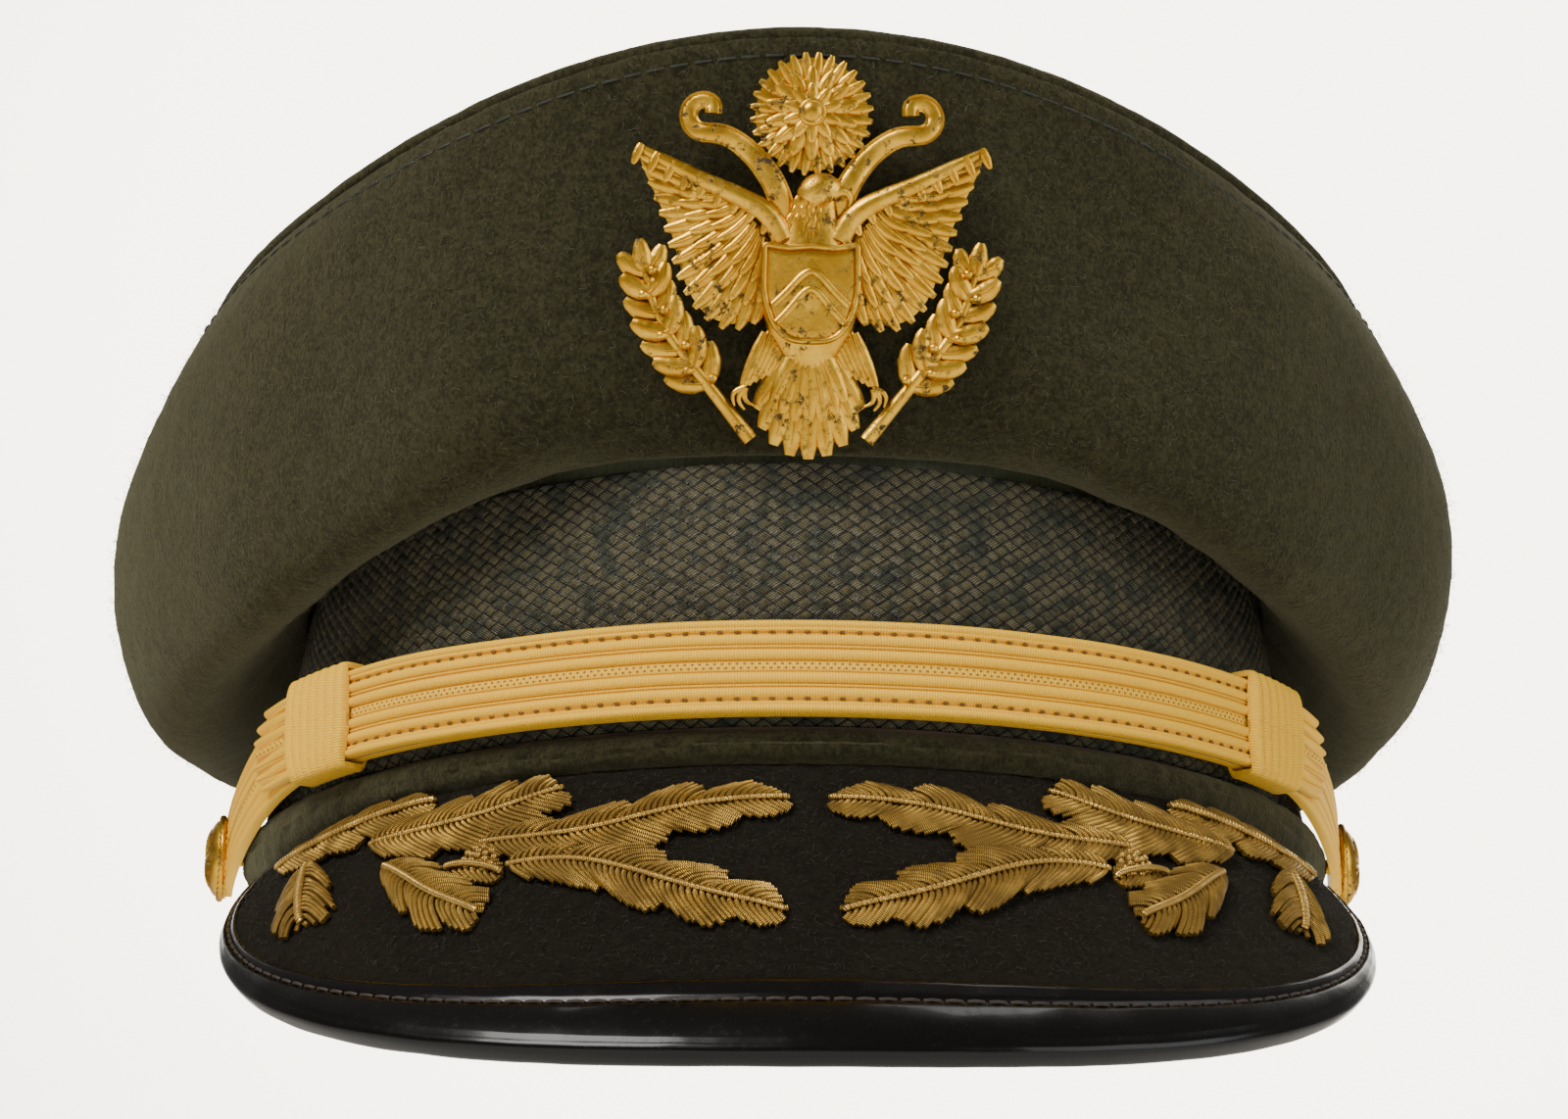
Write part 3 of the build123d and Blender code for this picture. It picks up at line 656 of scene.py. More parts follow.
class Solid:
    """Collects closed meshes, in millimetres, into one object."""

    def __init__(self) -> None:
        """Start empty."""
        self.points: list[Array] = []
        self.faces: dict[int, list[Array]] = {3: [], 4: []}
        self.flats: dict[int, list[Array]] = {3: [], 4: []}
        self.count = 0

    def add(self, points: Array, faces: Array, flat: Array) -> None:
        """Add one run of faces that all have as many corners.

        Args:
            points: (n, 3) points, which may be empty when the faces use the last ones.
            faces: (f, corners) point numbers.
            flat: (f, corners, 2) texture coordinates in millimetres.
        """
        self.points.append(points.reshape(-1, 3))
        self.faces[faces.shape[-1]].append(faces + self.count)
        self.flats[faces.shape[-1]].append(flat)

    def shell(self, outer: Array, inner: Array, wrap: bool = False,
              flat: Optional[Array] = None) -> "Solid":
        """Add the closed solid between two grids of points.

        Args:
            outer: (m, n, 3) points of the face; m runs along, n across.
            inner: the same for the back.
            wrap: whether the last row joins the first.
            flat: (m, n, 2) texture coordinates, by default distances along and across.

        Returns:
            The builder itself.
        """
        m, n = outer.shape[:2]
        if flat is None:
            along = along_path(outer[:, n // 2])[:, None] + np.zeros((1, n))
            flat = np.stack([along, along_path(outer)], -1)
        rows = np.arange(m if wrap else m - 1)
        i, j = [k.ravel() for k in np.meshgrid(rows, np.arange(n - 1), indexing="ij")]
        k = (i + 1) % m
        quads = np.stack([i * n + j, k * n + j, k * n + j + 1, i * n + j + 1], -1)
        if wrap:
            step = np.linalg.norm(outer[-1, n // 2] - outer[0, n // 2])
            last = flat[-1:] + np.array([step, 0.0])
            flat = np.concatenate([flat, last])
            k = i + 1
        uv = np.stack([flat[i, j], flat[k, j], flat[k, j + 1], flat[i, j + 1]], 1)
        back = m * n
        edge_a = np.stack([rows * n, (rows + 1) % m * n], -1)
        edge_b = edge_a + n - 1
        sides = [np.concatenate([edge_a[:, ::-1], edge_a + back], 1),
                 np.concatenate([edge_b, edge_b[:, ::-1] + back], 1)]
        if not wrap:
            ends = np.stack([np.arange(n - 1), np.arange(1, n)], -1)
            last_row = ends + (m - 1) * n
            sides += [np.concatenate([ends, ends[:, ::-1] + back], 1),
                      np.concatenate([last_row[:, ::-1], last_row + back], 1)]
        side = np.concatenate(sides)
        faces = np.concatenate([quads, quads[:, ::-1] + back, side])
        points = np.concatenate([outer.reshape(-1, 3), inner.reshape(-1, 3)])
        of_point = np.concatenate([flat[:m].reshape(-1, 2)] * 2)
        self.add(points, faces, np.concatenate([uv, uv[:, ::-1], of_point[side]]))
        self.count += len(points)
        return self

    def tubes(self, paths: Array, radius: "Array | float", up: Array, squeeze: float = 1.0,
              sides: int = 6, closed: bool = False) -> "Solid":
        """Add many round or oval cords at once.

        Args:
            paths: (count, k, 3) centre lines.
            radius: half-width, one value or (count, k).
            up: directions across the path, which broadcast to the paths.
            squeeze: thickness along `up` as a share of the width.
            sides: corners of the section.
            closed: whether each path is a ring.

        Returns:
            The builder itself.
        """
        count, k, _ = paths.shape
        if closed:
            ahead = np.roll(paths, -1, 1) - np.roll(paths, 1, 1)
        else:
            ahead = np.gradient(paths, axis=1)
        ahead = unit(ahead)
        over = unit(np.cross(ahead, np.broadcast_to(up, paths.shape)))
        lift = np.cross(over, ahead)
        r = np.broadcast_to(radius, (count, k))[..., None, None]
        turn = turns(sides)
        ring = (over[:, :, None] * np.cos(turn)[:, None]
                + lift[:, :, None] * np.sin(turn)[:, None] * squeeze)
        body = (paths[:, :, None] + ring * r).reshape(count, k * sides, 3)
        rows = np.arange(k if closed else k - 1)
        i, j = [q.ravel() for q in np.meshgrid(rows, np.arange(sides), indexing="ij")]
        i2, j2 = (i + 1) % k, (j + 1) % sides
        quads = np.stack([i * sides + j, i * sides + j2, i2 * sides + j2, i2 * sides + j], -1)
        run = along_path(paths)
        if closed:
            gap = np.linalg.norm(paths[:, -1] - paths[:, 0], axis=-1)
            run = np.concatenate([run, (run[:, -1] + gap)[:, None]], -1)
        part = j / sides
        uv = np.stack([np.stack([run[:, i], part + 0 * run[:, i]], -1),
                       np.stack([run[:, i], part + 1 / sides + 0 * run[:, i]], -1),
                       np.stack([run[:, i + 1], part + 1 / sides + 0 * run[:, i]], -1),
                       np.stack([run[:, i + 1], part + 0 * run[:, i]], -1)], 2)
        size = k * sides + (0 if closed else 2)
        offset = (np.arange(count) * size)[:, None, None]
        if not closed:
            tips = np.stack([paths[:, 0], paths[:, -1]], 1)
            body = np.concatenate([body, tips], 1)
        self.add(body, (quads + offset).reshape(-1, 4), uv.reshape(-1, 4, 2))
        if not closed:
            j = np.arange(sides)
            j2, base = (j + 1) % sides, (k - 1) * sides
            caps = np.concatenate([np.stack([0 * j + k * sides, j2, j], -1),
                                   np.stack([0 * j + k * sides + 1, base + j, base + j2], -1)])
            zero = np.zeros((count * len(caps), 3, 2))
            self.add(np.zeros((0, 3)), (caps + offset).reshape(-1, 3), zero)
        self.count += count * size
        return self

    def dome(self, outline: Array, height: Callable[[Array], Array], frame: "Plane",
             rings: int = 8, foot: float = 0.0) -> "Solid":
        """Add a solid over a flat outline, raised to a height that depends on the inset.

        Args:
            outline: (n, 2) closed outline in the frame, star-shaped about its middle.
            height: height for a share of 0 at the outline to 1 at the middle.
            frame: the plane that the outline lies in.
            rings: rows between the outline and the middle.
            foot: depth of the flat back under the plane.

        Returns:
            The builder itself.
        """
        middle = outline.mean(0)
        share = spread(0, 1, rings + 1)[:-1]
        flat = outline[None] + (middle - outline)[None] * share[:, None, None]
        n = len(outline)
        up = height(share)[:, None] + np.zeros((1, n))
        face = frame.at(flat[..., 0], flat[..., 1], up)
        back = frame.at(outline[:, 0], outline[:, 1], np.full(n, -foot))
        grid = np.concatenate([back[None], face])
        rows = len(grid)
        i, j = [q.ravel() for q in np.meshgrid(np.arange(rows - 1), np.arange(n), indexing="ij")]
        j2 = (j + 1) % n
        quads = np.stack([i * n + j, i * n + j2, (i + 1) * n + j2, (i + 1) * n + j], -1)
        two = np.concatenate([outline[None], flat]).reshape(-1, 2)
        tips = np.stack([frame.at(*middle, float(height(np.array([1.0]))[0])),
                         frame.at(*middle, -foot)])
        points = np.concatenate([grid.reshape(-1, 3), tips])
        self.add(points, quads, two[quads])
        j, j2, last = np.arange(n), (np.arange(n) + 1) % n, (rows - 1) * n
        tri = np.concatenate([np.stack([last + j, last + j2, 0 * j + rows * n], -1),
                              np.stack([j2, j, 0 * j + rows * n + 1], -1)])
        both = np.concatenate([two, middle[None], middle[None]])
        self.add(np.zeros((0, 3)), tri, both[tri])
        self.count += len(points)
        return self

    def bare(self, name: str, material: bpy.types.Material,
             faceted: bool = False) -> bpy.types.Object:
        """Make the object with a material, tied to nothing."""
        points = np.concatenate(self.points) * MM
        mesh = bpy.data.meshes.new(name)
        groups = [(n, np.concatenate(f)) for n, f in self.faces.items() if f]
        corners = np.concatenate([f.ravel() for _, f in groups])
        totals = np.concatenate([np.full(len(f), n) for n, f in groups])
        mesh.vertices.add(len(points))
        mesh.vertices.foreach_set("co", points.astype(np.float32).ravel())
        mesh.loops.add(len(corners))
        mesh.loops.foreach_set("vertex_index", corners.astype(np.int32))
        mesh.polygons.add(len(totals))
        mesh.polygons.foreach_set("loop_start", (np.cumsum(totals) - totals).astype(np.int32))
        layer = mesh.uv_layers.new(name="flat")
        uv = np.concatenate([np.concatenate(self.flats[n]).reshape(-1, 2) for n, _ in groups])
        layer.data.foreach_set("uv", uv.astype(np.float32).ravel())
        mesh.update(calc_edges=True)
        mesh.validate()
        outward(mesh)
        if not faceted:
            mesh.shade_smooth()
            mesh.set_sharp_from_angle(angle=math.radians(50))
        made = bpy.data.objects.new(name, mesh)
        bpy.context.collection.objects.link(made)
        mesh.materials.append(material)
        return made

    def object(self, name: str, finish: Finish, body: str = "cap", slot: str = "",
               replaces: Sequence[str] = (), flat_shaded: bool = False) -> bpy.types.Object:
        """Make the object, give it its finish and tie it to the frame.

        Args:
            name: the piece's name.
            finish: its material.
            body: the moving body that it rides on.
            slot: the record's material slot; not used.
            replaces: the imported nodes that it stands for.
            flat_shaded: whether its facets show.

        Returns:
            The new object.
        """
        made = self.bare(name, finish.material, flat_shaded)
        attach(made, body)
        if replaces:
            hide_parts(*replaces)
        LOG.info("%s: %d points on %s", name, self.count, body)
        return made


def outward(mesh: bpy.types.Mesh) -> None:
    """Turn every closed part's faces outwards."""
    work = bmesh.new()
    work.from_mesh(mesh)
    bmesh.ops.recalc_face_normals(work, faces=work.faces)
    work.to_mesh(mesh)
    work.free()


@dataclass(frozen=True)
class Plane:
    """A plane with its own X, Y and outward directions."""

    origin: Array
    x: Array
    y: Array

    @property
    def out(self) -> Array:
        """The direction out of the plane."""
        return np.cross(self.x, self.y)

    def at(self, x: "Array | float", y: "Array | float", z: "Array | float") -> Array:
        """The point at plane coordinates."""
        x, y, z = (np.asarray(v, float)[..., None] for v in (x, y, z))
        return self.origin + x * self.x + y * self.y + z * self.out


# ---- the cap's shared shape ----
def oval(azimuth: Array, half: tuple[float, float], rear: Optional[float] = None) -> Array:
    """Radius at azimuths of an oval with half-widths (X, Y) and its own rear half-width."""
    a = np.radians(azimuth)
    length = np.where(np.cos(a) >= 0, half[1], half[1] if rear is None else rear)
    return 1 / np.sqrt((np.sin(a) / half[0]) ** 2 + (np.cos(a) / length) ** 2)


def front_side_rear(azimuth: Array, front: float, side: float, rear: float,
                    power: float = 2.0) -> Array:
    """A value that runs smoothly from the front through the sides to the rear."""
    c = np.cos(np.radians(azimuth))
    return (side + (front - side) * np.maximum(c, 0) ** power
            + (rear - side) * np.maximum(-c, 0) ** power)


def place(azimuth: Array, r: Array, z: Array) -> Array:
    """Points at a radius and height in the upright plane at an azimuth."""
    a = np.radians(azimuth)
    return np.stack(np.broadcast_arrays(r * np.sin(a), -r * np.cos(a), z), -1)


@dataclass(frozen=True)
class CapShape:
    """Sizes that every sub-assembly shares, in millimetres and degrees."""

    band_top: float = 46.0
    band_foot: float = 5.2
    band_low: tuple[float, float] = (91.0, 100.0)
    band_high: tuple[float, float] = (84.0, 100.0)
    cloth: float = 1.6
    crown_seam: float = 112.0
    eyelet_azimuth: float = 100.0
    eyelet_share: float = 0.50
    rim_half: tuple[float, float] = (106.5, 122.1)
    rim_rear: float = 118.0
    rim_side_z: float = 81.7
    rim_front_z: float = 105.7
    rim_fall: float = 0.128
    rim_lift_y: float = 75.0
    visor_half: tuple[float, float] = (94.0, 101.0)
    visor_end: float = 64.0
    visor_depth: float = 58.0
    visor_pitch: float = 54.0

    def rim_height(self, y: Array) -> Array:
        """Height of the rim: it falls to the rear and curls up at the front."""
        curl = self.rim_front_z - self.rim_side_z - self.rim_fall * self.rim_half[1]
        ahead = np.maximum((-y - self.rim_lift_y) / (self.rim_half[1] - self.rim_lift_y), 0)
        return self.rim_side_z - self.rim_fall * y + curl * ahead ** 2

    def rim(self, azimuth: Array, inset: float = 0.0, lift: float = 0.0) -> Array:
        """Points beside the rim."""
        r = oval(azimuth, self.rim_half, self.rim_rear) - inset
        return place(azimuth, r, self.rim_height(-r * np.cos(np.radians(azimuth))) + lift)

    def crown(self, azimuth: Array, count: int) -> tuple[Array, Array]:
        """The crown's outer face.

        Args:
            azimuth: the upright planes to cut it in.
            count: points from the band to the rim in each.

        Returns:
            (m, count, 3) points and their outward directions.
        """
        rim = oval(azimuth, self.rim_half, self.rim_rear)
        knots = np.stack([
            np.stack([oval(azimuth, self.band_high), self.band_top + 0.6 + 0 * azimuth], -1),
            np.stack([oval(azimuth, (105.5, 103.0), 112.0),
                      front_side_rear(azimuth, 52, 24.3, 28.9, 3)], -1),
            np.stack([oval(azimuth, (118.5, 115.7), 126.2),
                      front_side_rear(azimuth, 88, 60, 49.8)], -1),
            np.stack([oval(azimuth, (112.8, 119.5), 123.2),
                      front_side_rear(azimuth, 99, 74.4, 61.8)], -1),
            np.stack([rim, self.rim_height(-rim * np.cos(np.radians(azimuth)))], -1)], 1)
        lines = np.array([curve_through(k, count) for k in knots])
        slope = unit(np.gradient(lines, axis=1))
        a = azimuth[:, None]
        out = place(a, slope[..., 1], -slope[..., 0])
        return place(a, lines[..., 0], lines[..., 1]), out

    def crown_at(self, azimuth: float, share: float) -> Plane:
        """The plane that touches the crown at a share of its height."""
        points, out = self.crown(np.array([azimuth]), 201)
        n = int(round(share * 200))
        across = place(np.array(azimuth + 90.0), np.array(1.0), np.array(0.0))
        y = unit(np.cross(out[0, n], across))
        return Plane(points[0, n], np.cross(y, out[0, n]), y)

    def band(self, azimuth: Array, z: Array, inset: float = 0.0) -> Array:
        """Points of the band's tapering oval wall."""
        share = (z - self.band_foot) / (self.band_top - self.band_foot)
        half = tuple(low + (high - low) * share - inset
                     for low, high in zip(self.band_low, self.band_high))
        a = np.radians(azimuth)
        r = 1 / np.sqrt((np.sin(a) / half[0]) ** 2 + (np.cos(a) / half[1]) ** 2)
        return place(azimuth, r, z)

    def visor_root(self, azimuth: Array) -> tuple[Array, Array]:
        """Radius and height of the line where the visor leaves the band."""
        return oval(azimuth, self.visor_half), -1.2 - 5.0 * (np.abs(azimuth) / self.visor_end) ** 4

    def visor_length(self, azimuth: Array) -> Array:
        """Distance down the slope from the visor's root to its edge."""
        share = np.abs(azimuth) / self.visor_end
        return self.visor_depth * np.maximum(1 - share ** 3, 0) ** 1.12

    def binding_width(self, azimuth: Array) -> Array:
        """How far the leather binding reaches in from the edge."""
        turn = np.radians(90 * np.minimum(np.abs(azimuth) / 56, 1))
        return 4.6 + 9.7 * np.maximum(np.cos(turn), 0) ** 1.5

    def visor(self, azimuth: Array, down: Array, lift: "Array | float" = 0.0) -> Array:
        """Points at a distance down the visor's slope and a height above its face."""
        r, z = self.visor_root(azimuth)
        pitch = np.radians(self.visor_pitch - 8 * (azimuth / self.visor_end) ** 2)
        return place(azimuth, r + down * np.cos(pitch) + lift * np.sin(pitch),
                     z - down * np.sin(pitch) + lift * np.cos(pitch))

    def visor_out(self, azimuth: Array) -> Array:
        """The direction out of the visor's face."""
        pitch = np.radians(self.visor_pitch - 8 * (azimuth / self.visor_end) ** 2)
        return place(azimuth, np.sin(pitch), np.cos(pitch))


SHAPE = CapShape()
SIDES = {"left": -1, "right": 1}


def dress(node: str, finish: Finish) -> None:
    """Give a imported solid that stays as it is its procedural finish."""
    piece = frame["nodes"][node]
    piece.data.materials.clear()
    piece.data.materials.append(finish.material)


# ---- crown ----
@dataclass
class Crown:
    """The wool crown: three wall panels, a top panel and a welted rim."""

    shape: CapShape = SHAPE
    rows: int = 110
    degrees_per_row: float = 0.55
    puff: float = 1.5
    crease: float = 0.55
    seam_roll: float = 1.1
    stitch_drop: float = 3.1
    stitch_pitch: float = 3.6
    top_sag: float = 3.2
    fibres: int = 12000

    def build(self) -> None:
        """Make every piece of the crown."""
        seam = self.shape.crown_seam
        self._panel("crown_front", -seam, seam, "crown_front_panel")
        self._panel("crown_back_right", seam, 180.0, "crown_rear_right")
        self._panel("crown_back_left", -180.0, -seam, "crown_rear_left")
        self._top()
        self._rim()
        self._stitches()
        self._nap()

    def relief(self, azimuth: Array, share: Array, points: Array) -> Array:
        """How far the cloth stands out from its ideal surface."""
        front = np.exp(-((np.abs(azimuth) - 24) / 17) ** 2)[:, None]
        side = smooth(np.abs(azimuth), 40, 75)[:, None]
        belly = np.sin(math.pi * share) ** 1.4
        swell = self.puff * (np.sin(np.radians(azimuth) * 9.5 + 0.6)[:, None] * front
                             + 0.7 * np.sin(np.radians(azimuth) * 7)[:, None] * side) * belly
        soft = wander(points * np.array([1, 1, 0.35]), 26) * self.puff * 0.8 * belly
        foot = wander(points * np.array([1, 1, 0.1]), 9, 4.2) * self.crease * (
            smooth(share, 0.01, 0.04) - smooth(share, 0.05, 0.3))
        mat = wander(points, 3.4, 9.1) * 0.16 + wander(points, 1.3, 2.3) * 0.07
        apart = ((np.abs(azimuth)[:, None] - self.shape.eyelet_azimuth) * 1.9) ** 2 + (
            (share - self.shape.eyelet_share) * 70) ** 2
        return (swell + soft + foot + mat) * (1 - np.exp(-apart / 90))

    def face(self, azimuth: Array, rows: int) -> tuple[Array, Array]:
        """The cloth's face with its relief: points and outward directions."""
        points, out = self.shape.crown(azimuth, rows)
        share = spread(0, 1, rows)[None]
        edge = self.seam_roll * (np.exp(-share / 0.012) + np.exp(-(1 - share) / 0.008) * 0.6)
        seams = np.zeros_like(azimuth)
        for seam in (self.shape.crown_seam, -self.shape.crown_seam, 180.0, -180.0):
            seams += np.exp(-(np.abs(azimuth - seam) / 0.55) ** 1.3)
        sink = edge + self.seam_roll * seams[:, None]
        return points + out * (self.relief(azimuth, share, points) - sink)[..., None], out

    def _panel(self, name: str, start: float, stop: float, node: str) -> None:
        """One wall panel, with its edges rolled into the seams."""
        azimuth = spread(start, stop, int((stop - start) / self.degrees_per_row))
        face, out = self.face(azimuth, self.rows)
        Solid().shell(face, face - out * self.shape.cloth).object(
            name, Finish.WOOL, slot="wool_cloth", replaces=[node])

    def _top(self) -> None:
        """The top panel, drawn tight over the grommet with a shallow sag."""
        azimuth = spread(-180, 180, 241)[:-1]
        share = np.concatenate([spread(1, 0.9, 12), spread(0.88, 0.03, 40)])
        rim = self.shape.rim(azimuth, 1.9, 2.2)
        grid = rim[:, None] * np.array([1, 1, 0]) * share[None, :, None]
        z = self.shape.rim_height(grid[..., 1]) + 2.2
        z = z + (rim[:, None, 2] - self.shape.rim_height(rim[:, None, 1]) - 2.2) * share ** 8
        spoke = np.sin(np.radians(azimuth) * 17 + 3 * np.sin(np.radians(azimuth) * 3))[:, None]
        z -= self.top_sag * (1 - share ** 2) - 0.45 * spoke * np.exp(-((share - 0.86) / 0.1) ** 2)
        z -= 1.2 * np.exp(-(1 - share) / 0.008)
        grid[..., 2] = z
        grid[..., 2] += wander(grid, 30) * 1.0 * (1 - share ** 4) + wander(grid, 3) * 0.12
        Solid().shell(grid, grid - np.array([0, 0, self.shape.cloth]), wrap=True).object(
            "crown_top", Finish.WOOL, slot="wool_cloth", replaces=["crown_top_panel"])

    def _rim(self) -> None:
        """The raised seam ridge round the rim."""
        azimuth = spread(-180, 180, 721)[:-1]
        path = self.shape.rim(azimuth, 1.3, 1.1)
        radius = 1.25 + wander(path, 6) * 0.12 + wander(path, 1.5) * 0.07
        Solid().tubes(path[None], radius[None], np.array([0, 0, 1.0]), 0.9, 14, True).object(
            "rim_ridge", Finish.WOOL, slot="wool_cloth", replaces=["rim_welt"])

    def _stitches(self) -> None:
        """Topstitching under the rim and beside the panel seams."""
        work = Solid()
        azimuth = spread(-179, 179, 717)
        points, out = self.shape.crown(azimuth, 201)
        row = int(200 - self.stitch_drop / 0.31)
        line, lift = points[:, row], out[:, row]
        relief = self.relief(azimuth, np.array([[row / 200]]), line[:, None])[:, 0]
        line = line + lift * (relief + 0.1)[:, None]
        self._row(work, line, lift, 0.22)
        for seam in (self.shape.crown_seam, -self.shape.crown_seam, 179.99):
            for off in (-1.6, 1.6):
                face, out = self.face(np.array([seam + off]), 201)
                self._row(work, face[0, 4:190] + out[0, 4:190] * 0.12, out[0, 4:190], 0.2)
        work.object("crown_topstitching", Finish.GREEN_THREAD, slot="wool_cloth")

    def _row(self, work: Solid, line: Array, out: Array, radius: float) -> None:
        """One row of running stitches along a line that lies on the cloth."""
        path, up = stitches(line, out, self.stitch_pitch, 0.5, 0.74, 0.16, 0.12)
        work.tubes(path, radius, up, 0.8, 6)

    def _nap(self) -> None:
        """Short loose fibres that stand from the wool."""
        rng = np.random.default_rng(7)
        azimuth = spread(-180, 180, 721)
        face, out = self.face(azimuth, 161)
        weight = 1 + 1.5 * np.exp(-(azimuth / 70) ** 2)
        i = rng.choice(len(azimuth), self.fibres, p=weight / weight.sum())
        j = rng.integers(3, 158, self.fibres)
        root, up = face[i, j], out[i, j]
        root = root + rng.normal(0, 0.4, (self.fibres, 3))
        lean = unit(rng.normal(0, 1, (self.fibres, 3)) + up * 0.4)
        length = rng.uniform(0.5, 1.7, self.fibres)[:, None]
        t = spread(0, 1, 4)[None, :, None]
        curl = unit(rng.normal(0, 1, (self.fibres, 3)))
        path = (root[:, None] + up[:, None] * (0.35 * np.sin(math.pi * t) - 0.05)
                + lean[:, None] * length[:, None] * t
                + curl[:, None] * 0.25 * length[:, None] * np.sin(math.pi * t))
        side = unit(np.cross(lean, curl))[:, None]
        Solid().tubes(path, 0.032, side, 1.0, 3).object(
            "crown_nap", Finish.NAP, slot="wool_cloth", flat_shaded=True)


# ---- band ----
@dataclass
class Band:
    """The braid band, the cloth roll under it and the sweatband inside it."""

    shape: CapShape = SHAPE
    weave_depth: float = 0.62
    roll_back: tuple[float, float] = (91.0, 98.9)
    sweat_inset: float = 3.2
    sweat_t: float = 1.2
    sweat_low: float = -1.6
    sweat_high: float = 36.0

    def build(self) -> None:
        """Make every piece of the band."""
        self._braid()
        self._roll()
        self._sweatband()
        self._bow()

    def _braid(self) -> None:
        """The basket-woven braid, with each crossing raised in the mesh."""
        azimuth = spread(-180, 180, 1321)[:-1]
        z = spread(self.shape.band_foot, self.shape.band_top, 93)
        face = self.shape.band(azimuth[:, None], z[None])
        around = along_path(face[:, 46])[:, None] + 0 * z[None]
        a = (around + z * WEAVE_SLANT) / WEAVE_PITCH
        b = (around - z * WEAVE_SLANT) / WEAVE_PITCH
        fa, fb = a % 1, b % 1
        turn = (np.floor(a) + np.floor(b)) % 2
        along, across = np.where(turn > 0.5, fb, fa), np.where(turn > 0.5, fa, fb)
        weave = np.sin(math.pi * along) ** 0.8 * (0.55 + 0.45 * np.sin(math.pi * across) ** 0.6)
        edge = np.exp(-(z - z[0]) / 0.5) + np.exp(-(z[-1] - z) / 0.5)
        out = place(azimuth[:, None], 1.0 + 0 * z[None], 0 * z[None])
        lift = self.weave_depth * (weave - 0.7) - 0.7 * edge + wander(face, 22) * 0.35
        face = face + out * lift[..., None]
        back = self.shape.band(azimuth[:, None], z[None], 1.2)
        flat = np.stack([around, np.broadcast_to(z, around.shape)], -1)
        Solid().shell(face, back, wrap=True, flat=flat).object(
            "braid", Finish.BRAID, slot="braid", replaces=["braid_band"])

    def _roll(self) -> None:
        """The rolled wool welt between the braid and the visor, creased like folded cloth."""
        azimuth = spread(-180, 180, 901)[:-1]
        off = np.abs(azimuth)
        _, under = self.shape.visor_root(off)
        past = -1.2 - 5 * np.exp(-((off - self.shape.visor_end) / 16) ** 2)
        low = np.where(off < self.shape.visor_end, under, past) + 0.5
        turn = turns(28)
        middle, half = (low + 4.4) / 2, (4.4 - low) / 2
        r = oval(azimuth, self.roll_back)[:, None] + 0.9 + 2.3 * np.cos(turn)
        z = middle[:, None] + half[:, None] * np.sin(turn)
        grid = place(azimuth[:, None], r, z)
        out = place(azimuth[:, None], np.cos(turn)[None], np.sin(turn)[None])
        drift = wander(grid[:, 7], 17)[:, None] * 1.6
        crease = np.exp(-((np.sin(turn)[None] * 2.4 - drift) / 0.18) ** 2)
        lift = wander(grid, 3.0) * 0.3 + wander(grid, 1.2) * 0.12 - crease * 0.5
        grid = grid + out * lift[..., None]
        section = np.concatenate([grid, grid[:, :1]], 1)
        core = np.concatenate([section.mean(1, keepdims=True)] * section.shape[1], 1)
        Solid().shell(section, core + (section - core) * 0.02, wrap=True).object(
            "base_roll", Finish.WOOL, slot="wool_cloth", replaces=["base_welt"])

    def _sweatband(self) -> None:
        """The leather sweatband, its reed and their stitching."""
        azimuth = spread(-180, 180, 361)[:-1]
        z = spread(self.sweat_low, self.sweat_high, 40)
        face = self.shape.band(azimuth[:, None], z[None], self.sweat_inset + self.sweat_t)
        back = self.shape.band(azimuth[:, None], z[None], self.sweat_inset)
        inward = -place(azimuth[:, None], 1.0 + 0 * z[None], 0 * z[None])
        puff = (wander(face, 14) * 0.35 + wander(face, 4) * 0.08
                - 0.4 * np.exp(-((z - 1.2) / 0.5) ** 2) - 0.5 * np.exp(-(z[-1] - z) / 0.4))
        face = face + inward * puff[..., None]
        Solid().shell(face, back, wrap=True).object(
            "sweatband_face", Finish.SWEATBAND, slot="sweat_leather", replaces=["sweatband"])
        reed = self.shape.band(azimuth, np.array(-3.0), self.sweat_inset + 0.2)
        Solid().tubes(reed[None], 1.25, np.array([0, 0, 1.0]), 1.0, 12, True).object(
            "sweatband_piping", Finish.SWEATBAND, slot="sweat_leather",
            replaces=["sweatband_reed"])
        starts = np.arange(-180, 180, 2.6)[:, None] + spread(0, 1.7, 4)[None]
        line = self.shape.band(starts, np.array(1.2), self.sweat_inset + self.sweat_t + 0.05)
        line += -place(starts, 1.0, 0.0) * 0.12 * np.sin(math.pi * spread(0, 1, 4))[:, None]
        up = -place(starts, 1.0, 0.0)
        Solid().tubes(line, 0.2, up, 0.8, 6).object(
            "sweatband_stitches", Finish.TAN_THREAD, slot="sweat_leather")

    def _bow(self) -> None:
        """The small flat bow at the back of the sweatband."""
        y = self.shape.band_low[1] - self.sweat_inset - self.sweat_t - 1.6
        work = Solid()
        for side in (-1, 1):
            loop = curve_through([(0, y, 24), (4 * side, y - 0.9, 26.3), (8 * side, y - 0.5, 27),
                                  (8.4 * side, y - 0.2, 23), (4 * side, y - 0.9, 22.2),
                                  (0.6 * side, y, 23.6)], 24)
            tail = curve_through([(0, y, 23.6), (3 * side, y - 0.5, 21.5),
                                  (7 * side, y - 0.2, 20.4)], 12)
            for path in (loop, tail):
                work.tubes(path[None], 1.1, np.array([0, -1.0, 0]), 0.3, 8)
        knot = curve_through([(0, y - 0.6, 25), (0, y - 1.0, 23.8), (0, y - 0.6, 22.6)], 8)
        work.tubes(knot[None], 1.2, np.array([0, -1.0, 0]), 0.5, 10)
        work.object("sweatband_ribbon", Finish.SATIN, slot="satin_lining",
                    replaces=["sweatband_bow"])


